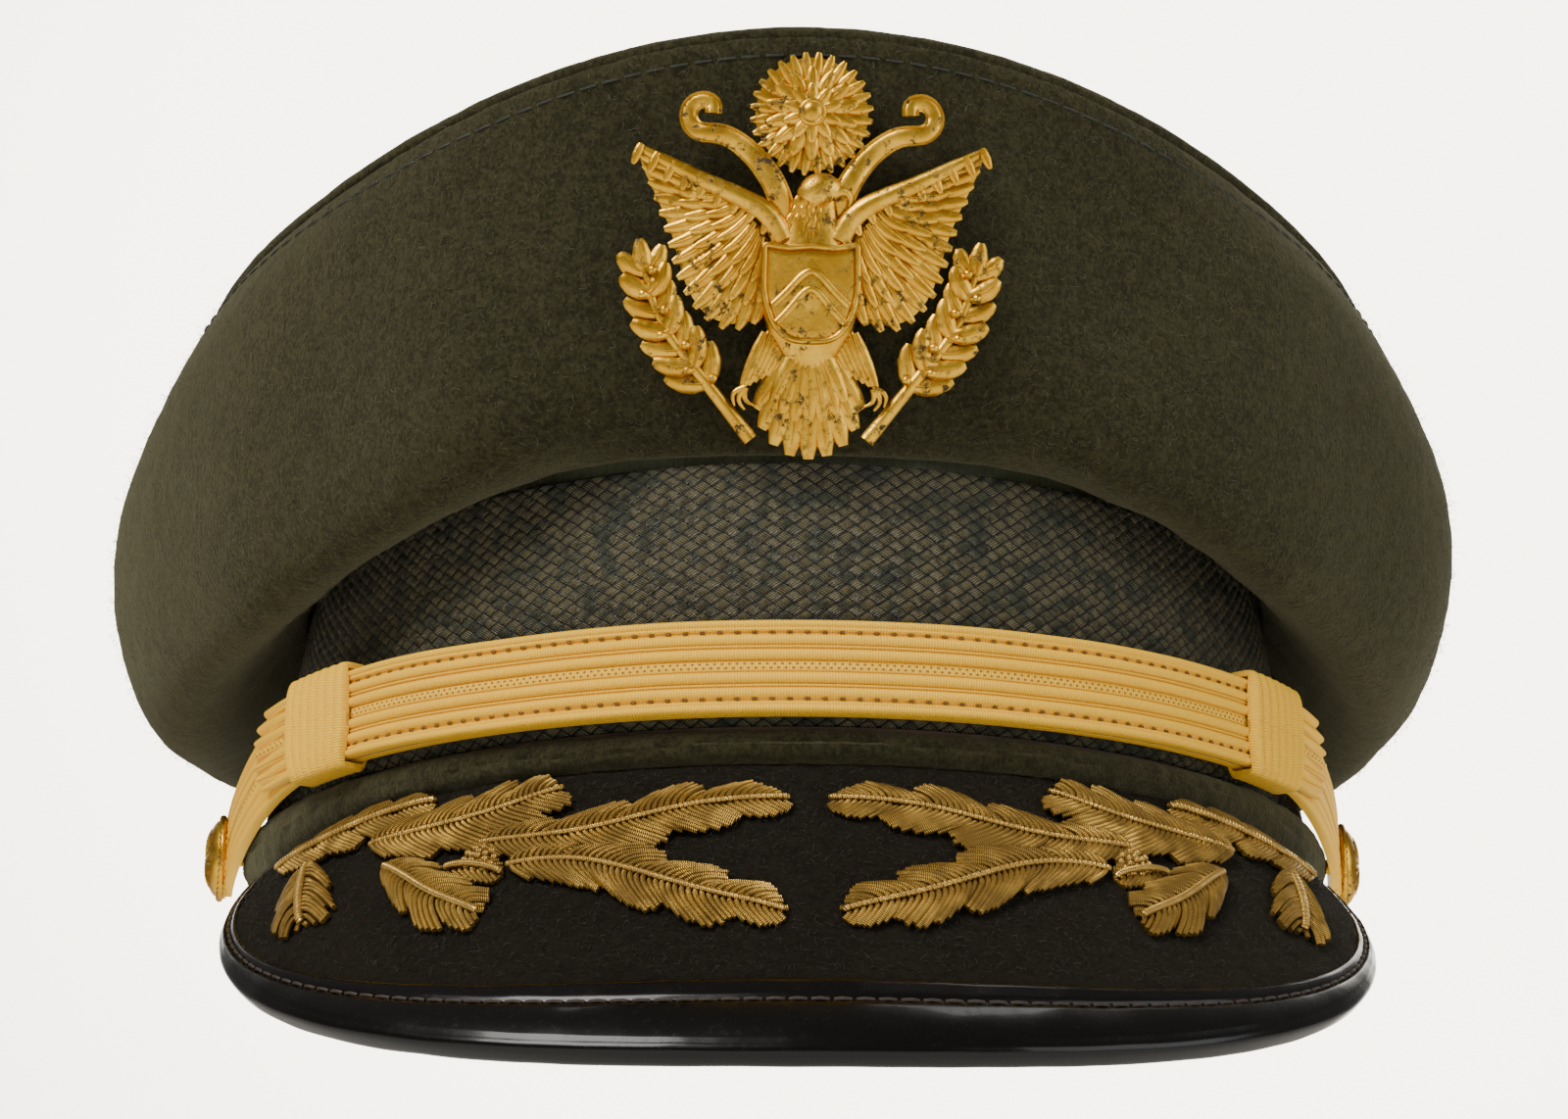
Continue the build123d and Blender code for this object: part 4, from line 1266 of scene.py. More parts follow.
# ---- visor ----
@dataclass
class Visor:
    """The cloth-covered visor with its stitched patent-leather binding."""

    shape: CapShape = SHAPE
    cloth: float = 1.0
    low: float = -3.8
    under: float = -3.35
    stitch_in: float = 0.29
    stitch_pitch: float = 3.0
    fibres: int = 5200

    def build(self) -> None:
        """Make every piece of the visor."""
        self._cloth()
        self._underside()
        self._binding()
        self._nap()

    def _down(self, azimuth: Array, share: Array) -> Array:
        """Distances down the slope between the root and the binding."""
        shape = self.shape
        stop = np.maximum(shape.visor_length(azimuth) - shape.binding_width(azimuth), 0.4)
        return (stop + 0.2)[:, None] * share[None]

    def _cloth(self) -> None:
        """The wool face."""
        azimuth, share = spread(-61.5, 61.5, 300), spread(0, 1, 90)
        down = self._down(azimuth, share)
        face = self.shape.visor(azimuth[:, None], down)
        lift = wander(face, 3) * 0.16 + wander(face, 1.3) * 0.1 + wander(face, 18) * 0.25
        face = self.shape.visor(azimuth[:, None], down, lift)
        back = self.shape.visor(azimuth[:, None], down, -self.cloth)
        Solid().shell(face, back).object("visor_face", Finish.VISOR_CLOTH, slot="visor_cloth",
                                         replaces=["visor_top_cloth"])

    def _underside(self) -> None:
        """The leathercloth lining under the board."""
        azimuth, share = spread(-60, 60, 160), spread(0, 1, 50)
        down = self._down(azimuth, share)
        face = self.shape.visor(azimuth[:, None], down, self.low + 0.03 * np.sin(down))
        back = self.shape.visor(azimuth[:, None], down, -3.0)
        Solid().shell(face, back).object("visor_underside", Finish.UNDERSIDE,
                                         slot="visor_lining", replaces=["visor_lining"])

    def _binding(self) -> None:
        """Patent leather wrapped round the edge, drawn in under its stitches."""
        azimuth = spread(-60.5, 60.5, 460)
        length, width = self.shape.visor_length(azimuth), self.shape.binding_width(azimuth)
        inner = np.maximum(length - width, 0.0)
        wide = np.maximum(length - inner, 0.6)
        top = spread(0, 1, 44)
        s_top = inner[:, None] + np.maximum(wide - 2.6, 0.3)[:, None] * top
        seam = (inner + wide * self.stitch_in)[:, None]
        roll = np.minimum((s_top - inner[:, None]) / 0.9, 1) ** 0.5
        groove = 0.30 * np.exp(-((s_top - seam) / 0.55) ** 2)
        puff = 0.35 * np.sin(math.pi * np.clip((s_top - seam) / (wide[:, None] * 0.6), 0, 1))
        n_top = 0.15 + 0.4 * roll - groove + puff
        turn = np.radians(spread(90, -90, 26)[1:-1])
        mid, half = (0.5 + self.under) / 2, (0.5 - self.under) / 2
        s_tip = (length - 2.6)[:, None] + 2.1 * np.abs(np.cos(turn)) ** 0.66
        n_tip = mid + half * np.sign(np.sin(turn)) * np.abs(np.sin(turn)) ** 0.66 + 0 * s_tip
        s_low = s_top[:, ::-1][:, ::3]
        n_low = self.under - 0.55 * smooth(-s_low, -(length - 3)[:, None], -(length - 7)[:, None])
        down = np.concatenate([s_top, s_tip, s_low], 1)
        lift = np.concatenate([n_top, n_tip, n_low], 1)
        face = self.shape.visor(azimuth[:, None], down, lift)
        ripple = wander(face * np.array([1, 1, 1]), 7) * 0.13
        face = face + self.shape.visor_out(azimuth)[:, None] * (
            ripple * np.sign(lift - mid))[..., None]
        s_in = np.minimum(down, (length - 1.2)[:, None])
        n_in = np.clip(lift, -3.1, -0.05)
        back = self.shape.visor(azimuth[:, None], s_in, n_in)
        Solid().shell(face, back).object("visor_edge", Finish.PATENT, slot="patent_leather",
                                         replaces=["visor_binding"])
        self._stitches(azimuth, seam[:, 0])

    def _stitches(self, azimuth: Array, seam: Array) -> None:
        """Lockstitches along the binding's groove."""
        line = self.shape.visor(azimuth, seam, 0.42)
        out = self.shape.visor_out(azimuth)
        path, up = stitches(line, out, self.stitch_pitch, 1.0, 0.8, 0.2, 0.1)
        Solid().tubes(path, 0.27, up, 0.8, 6).object(
            "visor_stitches", Finish.BINDING_THREAD, slot="patent_leather")

    def _nap(self) -> None:
        """Fibres on the visor's wool."""
        rng = np.random.default_rng(11)
        azimuth = rng.uniform(-59, 59, self.fibres)
        share = rng.uniform(0.01, 0.97, self.fibres)
        stop = np.maximum(self.shape.visor_length(azimuth) - self.shape.binding_width(azimuth), 0.4)
        root = self.shape.visor(azimuth, stop * share, 0.0)
        up = self.shape.visor_out(azimuth)
        lean = unit(rng.normal(0, 1, root.shape))
        lean = unit(lean - up * np.sum(lean * up, -1, keepdims=True) * 0.7)
        size = rng.uniform(0.5, 1.5, (self.fibres, 1))
        t = spread(0, 1, 4)[None, :, None]
        path = (root[:, None] + lean[:, None] * size[:, None] * t
                + up[:, None] * 0.45 * np.sin(math.pi * t * 0.8))
        Solid().tubes(path, 0.03, up[:, None], 1.0, 3).object(
            "visor_nap", Finish.VISOR_NAP, slot="visor_cloth", flat_shaded=True)


# ---- embroidery ----
@dataclass(frozen=True)
class Leaf:
    """One oak leaf: its rib from base to tip in (azimuth, distance down the visor)."""

    node: str
    rib: tuple[tuple[float, float], ...]
    half: float
    lobes: int
    rib_r: float = 0.40
    beaded: bool = True
    lean: float = 1.0
    pad: float = 1.5


OAK = (
    Leaf("leaf_upper", ((25.6, 14.9), (17, 14.6), (9, 10.3), (1.6, 8.2)), 5.4, 4),
    Leaf("leaf_lower", ((22.4, 20.4), (17, 20.8), (9, 26.8), (2.0, 31.4)), 5.8, 4),
    Leaf("leaf_outer", ((37.4, 11.4), (31, 10.6), (25, 8.2), (20.3, 4.2)), 6.6, 4),
    Leaf("leaf_side", ((33.9, 17.5), (31, 21), (27.6, 25.5), (23.4, 29.6)), 5.8, 3, 0.6, False),
    Leaf("leaf_end", ((44.6, 12.9), (43.2, 16.6), (41.3, 22), (39.4, 27.4)), 6.4, 3, 0.7),
)
SMALL = (
    Leaf("spray_tip", ((51.0, 9.6), (45.5, 7.6), (39, 5.0), (33.2, 2.8)), 4.6, 4, 0.6),
    Leaf("bud", ((27.6, 19.8), (25.5, 20.2), (22.8, 21.6)), 2.4, 1, 0.5, False),
)


@dataclass
class Embroidery:
    """Padded oak leaves in gilt purl on both halves of the visor."""

    shape: CapShape = SHAPE
    spacing: float = 0.98
    purl_r: float = 0.43
    ground: float = 0.25
    seed: int = 5

    def build(self) -> None:
        """Embroider both halves."""
        for side_name, side in SIDES.items():
            for leaf in OAK:
                self._leaf(leaf, side).object(f"oak_{leaf.node}_{side_name}", Finish.BULLION,
                                              slot="bullion",
                                              replaces=[f"{leaf.node}_{side_name}"])
            extra = Solid()
            for leaf in SMALL:
                self._leaf(leaf, side, extra)
            extra.object(f"oak_small_{side_name}", Finish.BULLION, slot="bullion")
            ribs = Solid()
            for leaf in OAK + SMALL:
                self._rib(leaf, side, ribs)
            self._acorn(side, ribs)
            ribs.object(f"oak_ribs_{side_name}", Finish.PURL, slot="bullion")

    def _chart(self, points: Array) -> Array:
        """(azimuth, distance down) as flat millimetres on the visor."""
        reach = np.radians(1.0) * (99 + 0.59 * points[..., 1])
        return np.stack([points[..., 0] * reach, points[..., 1]], -1)

    def _place(self, flat: Array, lift: Array, side: int) -> tuple[Array, Array]:
        """Flat millimetres back on the visor: points and outward directions."""
        azimuth = side * flat[..., 0] / (np.radians(1.0) * (99 + 0.59 * flat[..., 1]))
        return self.shape.visor(azimuth, flat[..., 1], lift), self.shape.visor_out(azimuth)

    def _leaf(self, leaf: Leaf, side: int, work: Optional[Solid] = None) -> Solid:
        """Lay the purl of one leaf, outwards from its rib towards the tip."""
        work = work or Solid()
        rib = curve_through(self._chart(np.array(leaf.rib)), 161)
        run = along_path(rib)
        count = int(run[-1] / self.spacing)
        rng = np.random.default_rng(self.seed)
        t = spread(0.02, 0.985, count)
        base = np.stack([np.interp(t, run / run[-1], rib[:, i]) for i in range(2)], -1)
        ahead = unit(np.gradient(base, axis=0))
        across = np.stack([-ahead[:, 1], ahead[:, 0]], -1)
        k = spread(0, 1, 7)
        for hand in (-1, 1):
            phase = leaf.lobes * math.pi * (t + 0.04 * hand)
            lobes = (0.50 + 0.50 * np.abs(np.sin(phase)) ** 0.6) * rng.uniform(0.92, 1.06, count)
            half = leaf.half * np.sin(math.pi * np.clip(t * 0.88 + 0.12, 0, 1)) ** 0.5 * lobes
            reach = across * hand * half[:, None]
            push = ahead * (leaf.lean * half)[:, None]
            bend = np.sin(math.pi * k)[None, :, None] * 0.10
            flat = (base[:, None] + across[:, None] * hand * 0.2 + reach[:, None] * k[None, :, None]
                    + push[:, None] * (k ** 1.4)[None, :, None] - push[:, None] * bend)
            swell = np.minimum(half / 4.0, 1.0)[:, None]
            height = self.ground + leaf.pad * swell * np.maximum(
                0, 1 - np.abs(k * 1.25 - 0.45) ** 2.2)[None]
            points, out = self._place(flat, height, side)
            work.tubes(points, self.purl_r, out, 1.0, 7)
        return work

    def _rib(self, leaf: Leaf, side: int, work: Solid) -> None:
        """The raised rib along a leaf."""
        rib = curve_through(self._chart(np.array(leaf.rib)), 340)
        run = along_path(rib)
        lift = self.ground + leaf.pad + 0.35 - 0.9 * (1 - np.sin(math.pi * run / run[-1]) ** 0.4)
        bead = 0.18 * np.abs(np.sin(math.pi * run / 0.78)) if leaf.beaded else 0.0 * run + 0.12
        points, out = self._place(rib, lift, side)
        work.tubes(points[None], (leaf.rib_r * 0.8 + bead)[None], out[None], 0.9, 10)

    def _acorn(self, side: int, work: Solid) -> None:
        """A knot of beads where the leaves meet."""
        middle = self._chart(np.array([25.0, 18.4]))
        for ring, (count, radius) in enumerate(((1, 0.0), (6, 1.25), (10, 2.4))):
            for i in range(count):
                turn = 2 * math.pi * (i + 0.5 * ring) / count
                spot = middle + radius * np.array([math.cos(turn), math.sin(turn)])
                ends = np.stack([spot - [0.45, 0], spot + [0.45, 0]])
                flat = spread(0, 1, 5)[:, None] * (ends[1] - ends[0]) + ends[0]
                points, out = self._place(flat, 1.7 - 0.3 * ring + 0 * flat[:, 0], side)
                bead = 0.62 * np.sin(math.pi * spread(0.12, 0.88, 5)) ** 0.5
                work.tubes(points[None], bead[None], out[None], 1.0, 10)


# ---- chin strap ----
@dataclass
class ChinStrap:
    """Gold lace in two layers, with a slide near each end of the outer one."""

    radius: float = 93.5
    centre_y: float = -11.5
    bend: float = 60.5
    tail_radius: float = 150.0
    z: float = 12.9
    width: float = 14.0
    layer: float = 1.5
    under: float = 1.55
    tab_end: float = 66.0
    button: float = 80.5
    button_z: float = 3.5
    slide_at: float = 53.3
    slide_arc: float = 10.7
    slide_high: float = 16.8
    slide_ribs: int = 7

    def build(self) -> None:
        """Make both layers, the slides and the stitching."""
        self._face()
        self._under()
        self._stitches()
        for side_name, side in SIDES.items():
            self._slide(side_name, side)

    def at(self, direction: Array, depth: "Array | float", height: "Array | float") -> Array:
        """Points of the strap at a direction, a depth under its face and a height."""
        a, b = np.radians(np.abs(direction)), math.radians(self.bend)
        tail = np.abs(direction) > self.bend
        r = np.where(tail, self.tail_radius, self.radius)
        cx = np.where(tail, (self.radius - self.tail_radius) * math.sin(b), 0.0)
        cy = np.where(tail, self.centre_y - (self.radius - self.tail_radius) * math.cos(b),
                      self.centre_y)
        x = np.sign(direction) * (cx + (r - depth) * np.sin(a))
        return np.stack(np.broadcast_arrays(x, cy - (r - depth) * np.cos(a), height), -1)

    def _out(self, direction: Array) -> Array:
        """The outward direction of the strap."""
        a = np.radians(direction)
        return np.stack(np.broadcast_arrays(np.sin(a), -np.cos(a), 0.0 * a), -1)

    def relief(self, v: Array) -> Array:
        """The lace's ribs across its width, for v in mm from its middle."""
        v = np.abs(v)
        height = np.zeros_like(v)
        for centre, half, tall in ((6.35, 0.62, 0.72), (5.55, 0.3, 0.5), (3.98, 0.80, 0.72),
                                   (2.92, 0.26, 0.42), (1.74, 0.84, 0.80), (0.0, 0.80, 0.2)):
            arch = np.sqrt(np.maximum(0, 1 - ((v - centre) / half) ** 2))
            height = np.maximum(height, tall * arch)
        return height

    def _face(self) -> None:
        """The outer layer with its puckered tabs, and the beige edge of its backing."""
        v = spread(-1, 1, 121)
        end = self.tab_end - 1.9 * np.abs(v) ** 3 + 0.5 * np.abs(np.cos(math.pi * 3 * v))
        t = spread(-1, 1, 560)
        direction = t[:, None] * end[None]
        off = np.abs(direction)
        tight = 1 - 0.10 * smooth(off, 61, 66)
        half = self.width / 2
        pucker = smooth(off, 60.5, 65.0)
        lift = self.relief(v * half)[None] * (1 - pucker) + pucker * (
            0.9 * np.abs(np.cos(math.pi * 3 * v))[None] - 0.2)
        lift = lift - 0.8 * smooth(off, end - 0.5, end)
        wobble = wander(self.at(direction, 0.0, v[None] * half), 14) * 0.22
        height = self.z + v[None] * half * tight + wander(
            self.at(direction, 0.0, 0.0 * direction), 30) * 0.25
        face = self.at(direction, 0.35 - lift - wobble, height)
        back = self.at(direction, 1.0 + 0 * direction, height)
        along = np.radians(direction) * self.radius
        flat = np.stack(np.broadcast_arrays(along, v[None] * half), -1)
        Solid().shell(face, back, flat=flat).object(
            "strap_lace", Finish.LACE, "chin_strap", "gold_lace", ["strap_face"])
        inner = self.at(direction * 0.995, 1.0, self.z + v[None] * (half - 0.1) * tight)
        deep = self.at(direction * 0.995, 1.5, self.z + v[None] * (half - 0.1) * tight)
        Solid().shell(inner, deep).object("strap_backing", Finish.BACKING, "chin_strap",
                                          "gold_lace")

    def _under(self) -> None:
        """The inner layer, whose tails run down and back to the buttons."""
        v = spread(-1, 1, 81)
        stop = self.button + 3.3 * np.sqrt(1 - 0.98 * v ** 2)
        t = spread(-1, 1, 460)
        direction = t[:, None] * stop[None]
        off = np.abs(direction)
        fall = (self.z - self.button_z) * smooth(off, self.bend - 2, self.button + 2)
        half = self.width / 2
        lift = self.relief(v * half)[None] * smooth(off, 60, 62)
        height = self.z - fall + v[None] * (half - 0.5 * smooth(off, 60, 80))
        face = self.at(direction, self.under + 0.3 - lift * 0.6, height)
        back = self.at(direction, self.under + self.layer, height)
        along = np.radians(direction) * self.radius
        flat = np.stack(np.broadcast_arrays(along, v[None] * half), -1)
        Solid().shell(face, back, flat=flat).object(
            "strap_tails", Finish.LACE, "chin_strap", "gold_lace", ["strap_under"])

    def _stitches(self) -> None:
        """A row of small stitches inside each edge."""
        work = Solid()
        starts = np.arange(-60, 60, 1.57)[:, None] + spread(0, 0.42, 4)[None]
        for v in (-5.0, 5.0):
            arch = 0.14 * np.sin(math.pi * spread(0, 1, 4))[None]
            work.tubes(self.at(starts, 0.2 - arch, self.z + v), 0.21, self._out(starts), 0.8, 6)
        work.object("strap_stitches", Finish.STRAP_THREAD, "chin_strap", "gold_lace")

    def _slide(self, side_name: str, side: int) -> None:
        """A loop of the same lace round both layers, its ribs upright and drawn in below."""
        front, back = -1.7, self.under + self.layer + 1.3
        half = self.slide_high / 2
        turn = spread(0, 2 * math.pi, 81)[:-1]
        loop_d = (front + back) / 2 - (back - front) / 2 * np.sign(np.cos(turn)) * np.abs(
            np.cos(turn)) ** 0.35
        loop_z = half * np.sign(np.sin(turn)) * np.abs(np.sin(turn)) ** 0.55
        u = spread(-1, 1, 85)
        rib = np.abs(np.sin(math.pi * self.slide_ribs * (u + 1) / 2)) ** 0.55
        width = self.slide_arc / 2 * (1 - 0.12 * smooth(-loop_z / half, 0.2, 1.0)
                                      - 0.04 * smooth(loop_z / half, 0.5, 1.0))
        shift = 0.6 * loop_z / half
        direction = side * (self.slide_at + shift[:, None] * 0.5 + width[:, None] * u[None])
        grow = 0.62 * rib[None] - 0.35 - 0.5 * np.exp(-(1 - np.abs(u)) / 0.02)[None]
        outward_d = np.sign(loop_d - (front + back) / 2)[:, None]
        depth = loop_d[:, None] + outward_d * grow * np.abs(np.cos(turn))[:, None] ** 0.3
        tall = loop_z[:, None] * (1 + 0.02 * rib[None])
        face = self.at(direction, depth, self.z + tall)
        inner_d = np.clip(loop_d, front + 1.4, back - 1.0)[:, None] + 0 * direction
        inner_z = self.z + np.clip(loop_z, -half + 0.9, half - 0.9)[:, None] + 0 * direction
        inner = self.at(direction, inner_d, inner_z)
        run = along_path(np.stack([loop_d, loop_z], -1))
        flat = np.stack(np.broadcast_arrays(run[:, None], 20 + 8 * u[None]), -1)
        Solid().shell(face, inner, wrap=True, flat=flat).object(
            f"lace_slide_{side_name}", Finish.LACE, f"slide_{side_name}", "gold_lace",
            [f"strap_slide_{side_name}"])


# ---- badge ----
@dataclass
class Badge:
    """A struck heraldic bird under a sunburst, with a plain shield between two laurel sprays."""

    at: tuple[float, float, float] = (0.0, -112.91, 73.48)
    lean: float = 17.5
    burst_y: float = 21.3
    burst_r: float = 9.2
    work: Solid = field(default_factory=Solid)

    @property
    def plane(self) -> Plane:
        """The badge's own plane."""
        a = math.radians(self.lean)
        return Plane(np.array(self.at), np.array([1.0, 0, 0]),
                     np.array([0, -math.sin(a), math.cos(a)]))

    def build(self) -> None:
        """Strike the badge."""
        for name, node, strike in (("badge_eagle", "badge_bird", self._bird),
                                   ("badge_escutcheon", "badge_shield", self._shield),
                                   ("badge_rosette", "badge_sunburst", self._sunburst)):
            self.work = Solid()
            strike()
            self.work.object(name, Finish.GILT, slot="gilt_brass", replaces=[node])

    def _bird(self) -> None:
        """The bird with its ribbons and laurel."""
        for side in (1, -1):
            self._ribbon(side)
            self._laurel(side)
            self._wing(side)
            self._thigh(side)
        self._tail()
        self._body()

    def _stroke(self, path: Array, radius: "Array | float", squeeze: float = 0.45,
                sides: int = 10, closed: bool = False) -> None:
        """Add a tapered stroke drawn as (x, y, height) in the badge's plane."""
        points = self.plane.at(path[:, 0], path[:, 1], path[:, 2])
        wide = np.broadcast_to(radius, (1, len(path)))
        self.work.tubes(points[None], wide, self.plane.out, squeeze, sides, closed)

    def _feather(self, root: Sequence[float], tip: Sequence[float], wide: float,
                 height: float, bow: float = 0.0) -> None:
        """One feather: a flattened blade with a rib down its middle."""
        root, tip = np.array(root, float), np.array(tip, float)
        t = spread(0, 1, 12)
        line = root + (tip - root) * t[:, None]
        across = unit(np.array([-(tip - root)[1], (tip - root)[0]]))
        line = line + across * (bow * np.sin(math.pi * t))[:, None]
        path = raised(line, height)
        shape = np.maximum(np.sin(math.pi * (0.14 + 0.80 * t)) ** 0.55, 0.05)
        self._stroke(path, wide * shape * (1 + 0.03 * np.cos(22 * t)))
        rib = path + [0, 0, wide * 0.42]
        self._stroke(rib[:-1], 0.16 * (1.1 - t[:-1]) + 0.06, 1.0, 6)

    def _wing(self, side: int) -> None:
        """A broad wing: a plate with three rows of feathers under a strong leading edge."""
        mirror = np.array([side, 1.0])
        outline = curve_through([(4.5, 1.5), (8.4, 7.0), (15, 10.2), (25.4, 15.6), (21.2, 4.8),
                                 (18.8, -3.2), (14.4, -9.2), (8.2, -9.2), (5.5, -3),
                                 (4.5, 1.5)], 71)[:-1]
        self.work.dome(outline * mirror, lambda s: 0.5 + 0.6 * np.minimum(s / 0.2, 1), self.plane,
                       6, 0.2)
        tips = ((25.8, 15.8), (23.9, 10.4), (22.2, 5.4), (20.9, 0.8), (19.7, -3.4), (17.6, -7.2),
                (14.9, -9.9), (11.7, -11.0), (8.4, -10.0))
        roots = ((16.5, 11.0), (14.2, 9.4), (12.4, 7.6), (11.0, 6.0), (9.9, 4.4), (9.0, 2.8),
                 (8.1, 1.4), (7.3, 0.2), (6.5, -1.0))
        for count, inner, outer, wide, height in ((15, 0.25, 1.0, 1.15, 1.0),
                                                  (13, 0.05, 0.66, 1.0, 1.7),
                                                  (12, -0.12, 0.36, 0.85, 2.3)):
            for root, tip in zip(curve_through(roots, count), curve_through(tips, count)):
                self._feather((root + (tip - root) * inner) * mirror,
                              (root + (tip - root) * outer) * mirror, wide, height,
                              -side * 0.5)
        edge = curve_through([(4.2, 2.4), (6.2, 5.8), (9.4, 8.0), (14.5, 10.3), (20, 13.0),
                              (26.0, 16.1)], 30)
        t = spread(0, 1, 30)
        path = raised(edge, 2.0 + 0.6 * np.sin(math.pi * t), side)
        self._stroke(path, 1.5 * (1 - t) ** 0.6 + 0.4, 0.75)
        for i in range(10):
            spot = edge[1 + i * 3]
            self._feather((side * spot[0], spot[1] + 0.6),
                          (side * (spot[0] + 1.3), spot[1] - 2.4), 0.7, 2.7)

    def _thigh(self, side: int) -> None:
        """The feathered leg and the claw that holds the spray."""
        for i in range(5):
            x = 3.0 + 0.9 * i
            self._feather((side * x, -10.5 - 0.2 * i), (side * (x + 3.4), -17.6 - 0.5 * i), 1.0,
                          1.3 + 0.15 * i)
        for turn in (-35, 0, 35):
            a = math.radians(turn - 62)
            claw = curve_through([(9.6, -19.6), (9.6 + 1.9 * math.cos(a), -19.6 + 1.9 * math.sin(a)),
                                  (9.6 + 2.6 * math.cos(a - 0.5), -19.6 + 3.2 * math.sin(a - 0.5))],
                                 8)
            self._stroke(raised(claw, 2.3, side), spread(0.62, 0.16, 8), 0.9, 8)

    def _tail(self) -> None:
        """A fan of nine tail feathers in two rows."""
        for row, (reach, wide, height) in enumerate(((17.2, 2.0, 0.8), (12.0, 1.6, 1.6))):
            for i in range(9 - 2 * row):
                step = i - (4 - row)
                a = math.radians(step * (10.0 + row))
                drop = reach * (1 - 0.016 * step ** 2)
                self._feather((1.6 * math.sin(a), -12.4),
                              (drop * 0.95 * math.sin(a), -12.8 - drop * math.cos(a)), wide,
                              height)

    def _body(self) -> None:
        """Breast, neck, head and beak, with rows of small feathers."""
        spine = curve_through([(0, -16.5), (0, -10), (0, -2), (0.2, 4.0), (0.7, 8.6)], 26)
        t = spread(0, 1, 26)
        wide = np.interp(t, [0, 0.2, 0.45, 0.65, 0.82, 1.0], [2.8, 6.4, 7.4, 6.2, 4.2, 3.0])
        self._stroke(raised(spine, 1.3 + 0.6 * t), wide, 0.36, 20)
        head = curve_through([(-0.4, 8.0), (0.8, 9.6), (2.4, 9.8), (3.6, 9.2)], 12)
        swell = 2.6 * np.sin(math.pi * spread(0.22, 0.86, 12)) ** 0.6
        self._stroke(raised(head, 2.7), swell, 0.75, 16)
        beak = curve_through([(3.2, 9.4), (4.8, 9.5), (5.8, 8.6), (5.5, 7.4)], 12)
        self._stroke(raised(beak, 3.0), spread(1.15, 0.14, 12), 0.8, 12)
        eye = np.stack([spread(2.3, 2.9, 5), np.full(5, 10.1)], -1)
        self._stroke(raised(eye, 4.15), 0.42 * np.sin(math.pi * spread(0.12, 0.88, 5)), 1.0, 8)
        for row in range(7):
            y = 8.4 - row * 1.35
            span = 2.3 + 0.6 * row
            for x in np.arange(-span, span + 0.1, 1.25) + (0.3 if row % 2 else 0.0):
                self._feather((x * 0.8, y + 0.5), (x, y - 1.3), 0.62,
                              2.2 + 1.0 * (1 - abs(x) / (span + 1)))

    def _shield(self) -> None:
        """A plain shield with a raised border and a chevron."""
        t = spread(0, 1, 40)
        right = np.concatenate([[[0, 1.4], [3.6, 1.1], [7.1, 1.6]],
                                np.stack([7.2 * np.cos(t * math.pi / 2) ** 0.62,
                                          -4.2 - 8.9 * np.sin(t * math.pi / 2) ** 1.25], -1)])
        outline = resample(np.concatenate([right, (right * [-1, 1])[::-1][1:]]), 121)[:-1]
        base = self.plane
        lifted = Plane(base.origin + base.out * 3.1, base.x, base.y)
        self.work.dome(outline, lambda s: 0.8 * np.minimum(s / 0.12, 1) ** 0.5 + 0.1 * s,
                       lifted, 12, 1.4)
        self._stroke(raised(outline * 0.97, 4.0), 0.48, 0.9, 8, True)
        for off in (0.0, -2.6):
            chevron = curve_through([(-5.6, -7.4 + off), (-2.9, -4.7 + off), (0, -2.4 + off),
                                     (2.9, -4.7 + off), (5.6, -7.4 + off)], 26)
            chevron[:, 0] *= 1 - 0.10 * (off < 0)
            self._stroke(raised(chevron, 4.5), 0.55, 0.6, 8)

    def _sunburst(self) -> None:
        """Petals round a boss, over a ring of short rays."""
        for count, inner, outer, wide, height in ((28, 4.0, self.burst_r, 0.85, 0.7),
                                                  (14, 2.2, 6.9, 1.15, 1.5),
                                                  (10, 0.8, 4.4, 0.95, 2.2)):
            for i in range(count):
                a = 2 * math.pi * (i + 0.5) / count
                c, s = math.cos(a), math.sin(a)
                self._feather((inner * c, self.burst_y + inner * s),
                              (outer * c, self.burst_y + outer * s), wide, height)
        middle = [0, self.burst_y]
        boss = circle(1.7, 40) + middle
        self._stroke(raised(boss, 2.9), 0.42, 0.9, 8, True)
        self.work.dome(boss, lambda s: 2.6 + 1.0 * np.sqrt(1 - (1 - s) ** 2), self.plane, 8)
        self.work.dome(circle(8.4, 60) + middle, lambda s: 0.5 + 0.4 * s, self.plane, 4)

    def _laurel(self, side: int) -> None:
        """A spray of laurel leaves and berries on a curved stem."""
        stem = curve_through([(8.6, -27.2), (12.4, -22.4), (16.8, -17.0), (21.0, -11.6),
                              (23.6, -6.0), (24.8, -1.0)], 60)
        t = spread(0, 1, 60)
        self._stroke(raised(stem, 1.1, side), 1.15 - 0.6 * t, 0.8, 8)
        ahead = unit(np.gradient(stem, axis=0))
        for i in range(7):
            n = 20 + i * 6
            along, across = ahead[n], np.array([-ahead[n][1], ahead[n][0]])
            for hand in (-1, 1):
                reach = 6.4 - 0.25 * i
                tip = stem[n] + along * reach * 0.72 + across * hand * reach * 0.66
                self._feather((side * stem[n][0], stem[n][1]), (side * tip[0], tip[1]), 1.5,
                              0.9 + 0.6 * (i % 2), side * hand * 0.5)
            berry = stem[n] + across * 1.1 * (-1) ** i
            spot = np.stack([berry[0] + spread(-0.6, 0.6, 5), np.full(5, berry[1])], -1)
            self._stroke(raised(spot, 2.3, side),
                         0.75 * np.sin(math.pi * spread(0.12, 0.88, 5)) ** 0.5, 1.0, 8)
        last = stem[-1]
        self._feather((side * (last[0] - 0.2), last[1] - 1.6),
                      (side * (last[0] + 0.6), last[1] + 3.4), 1.4, 1.3)

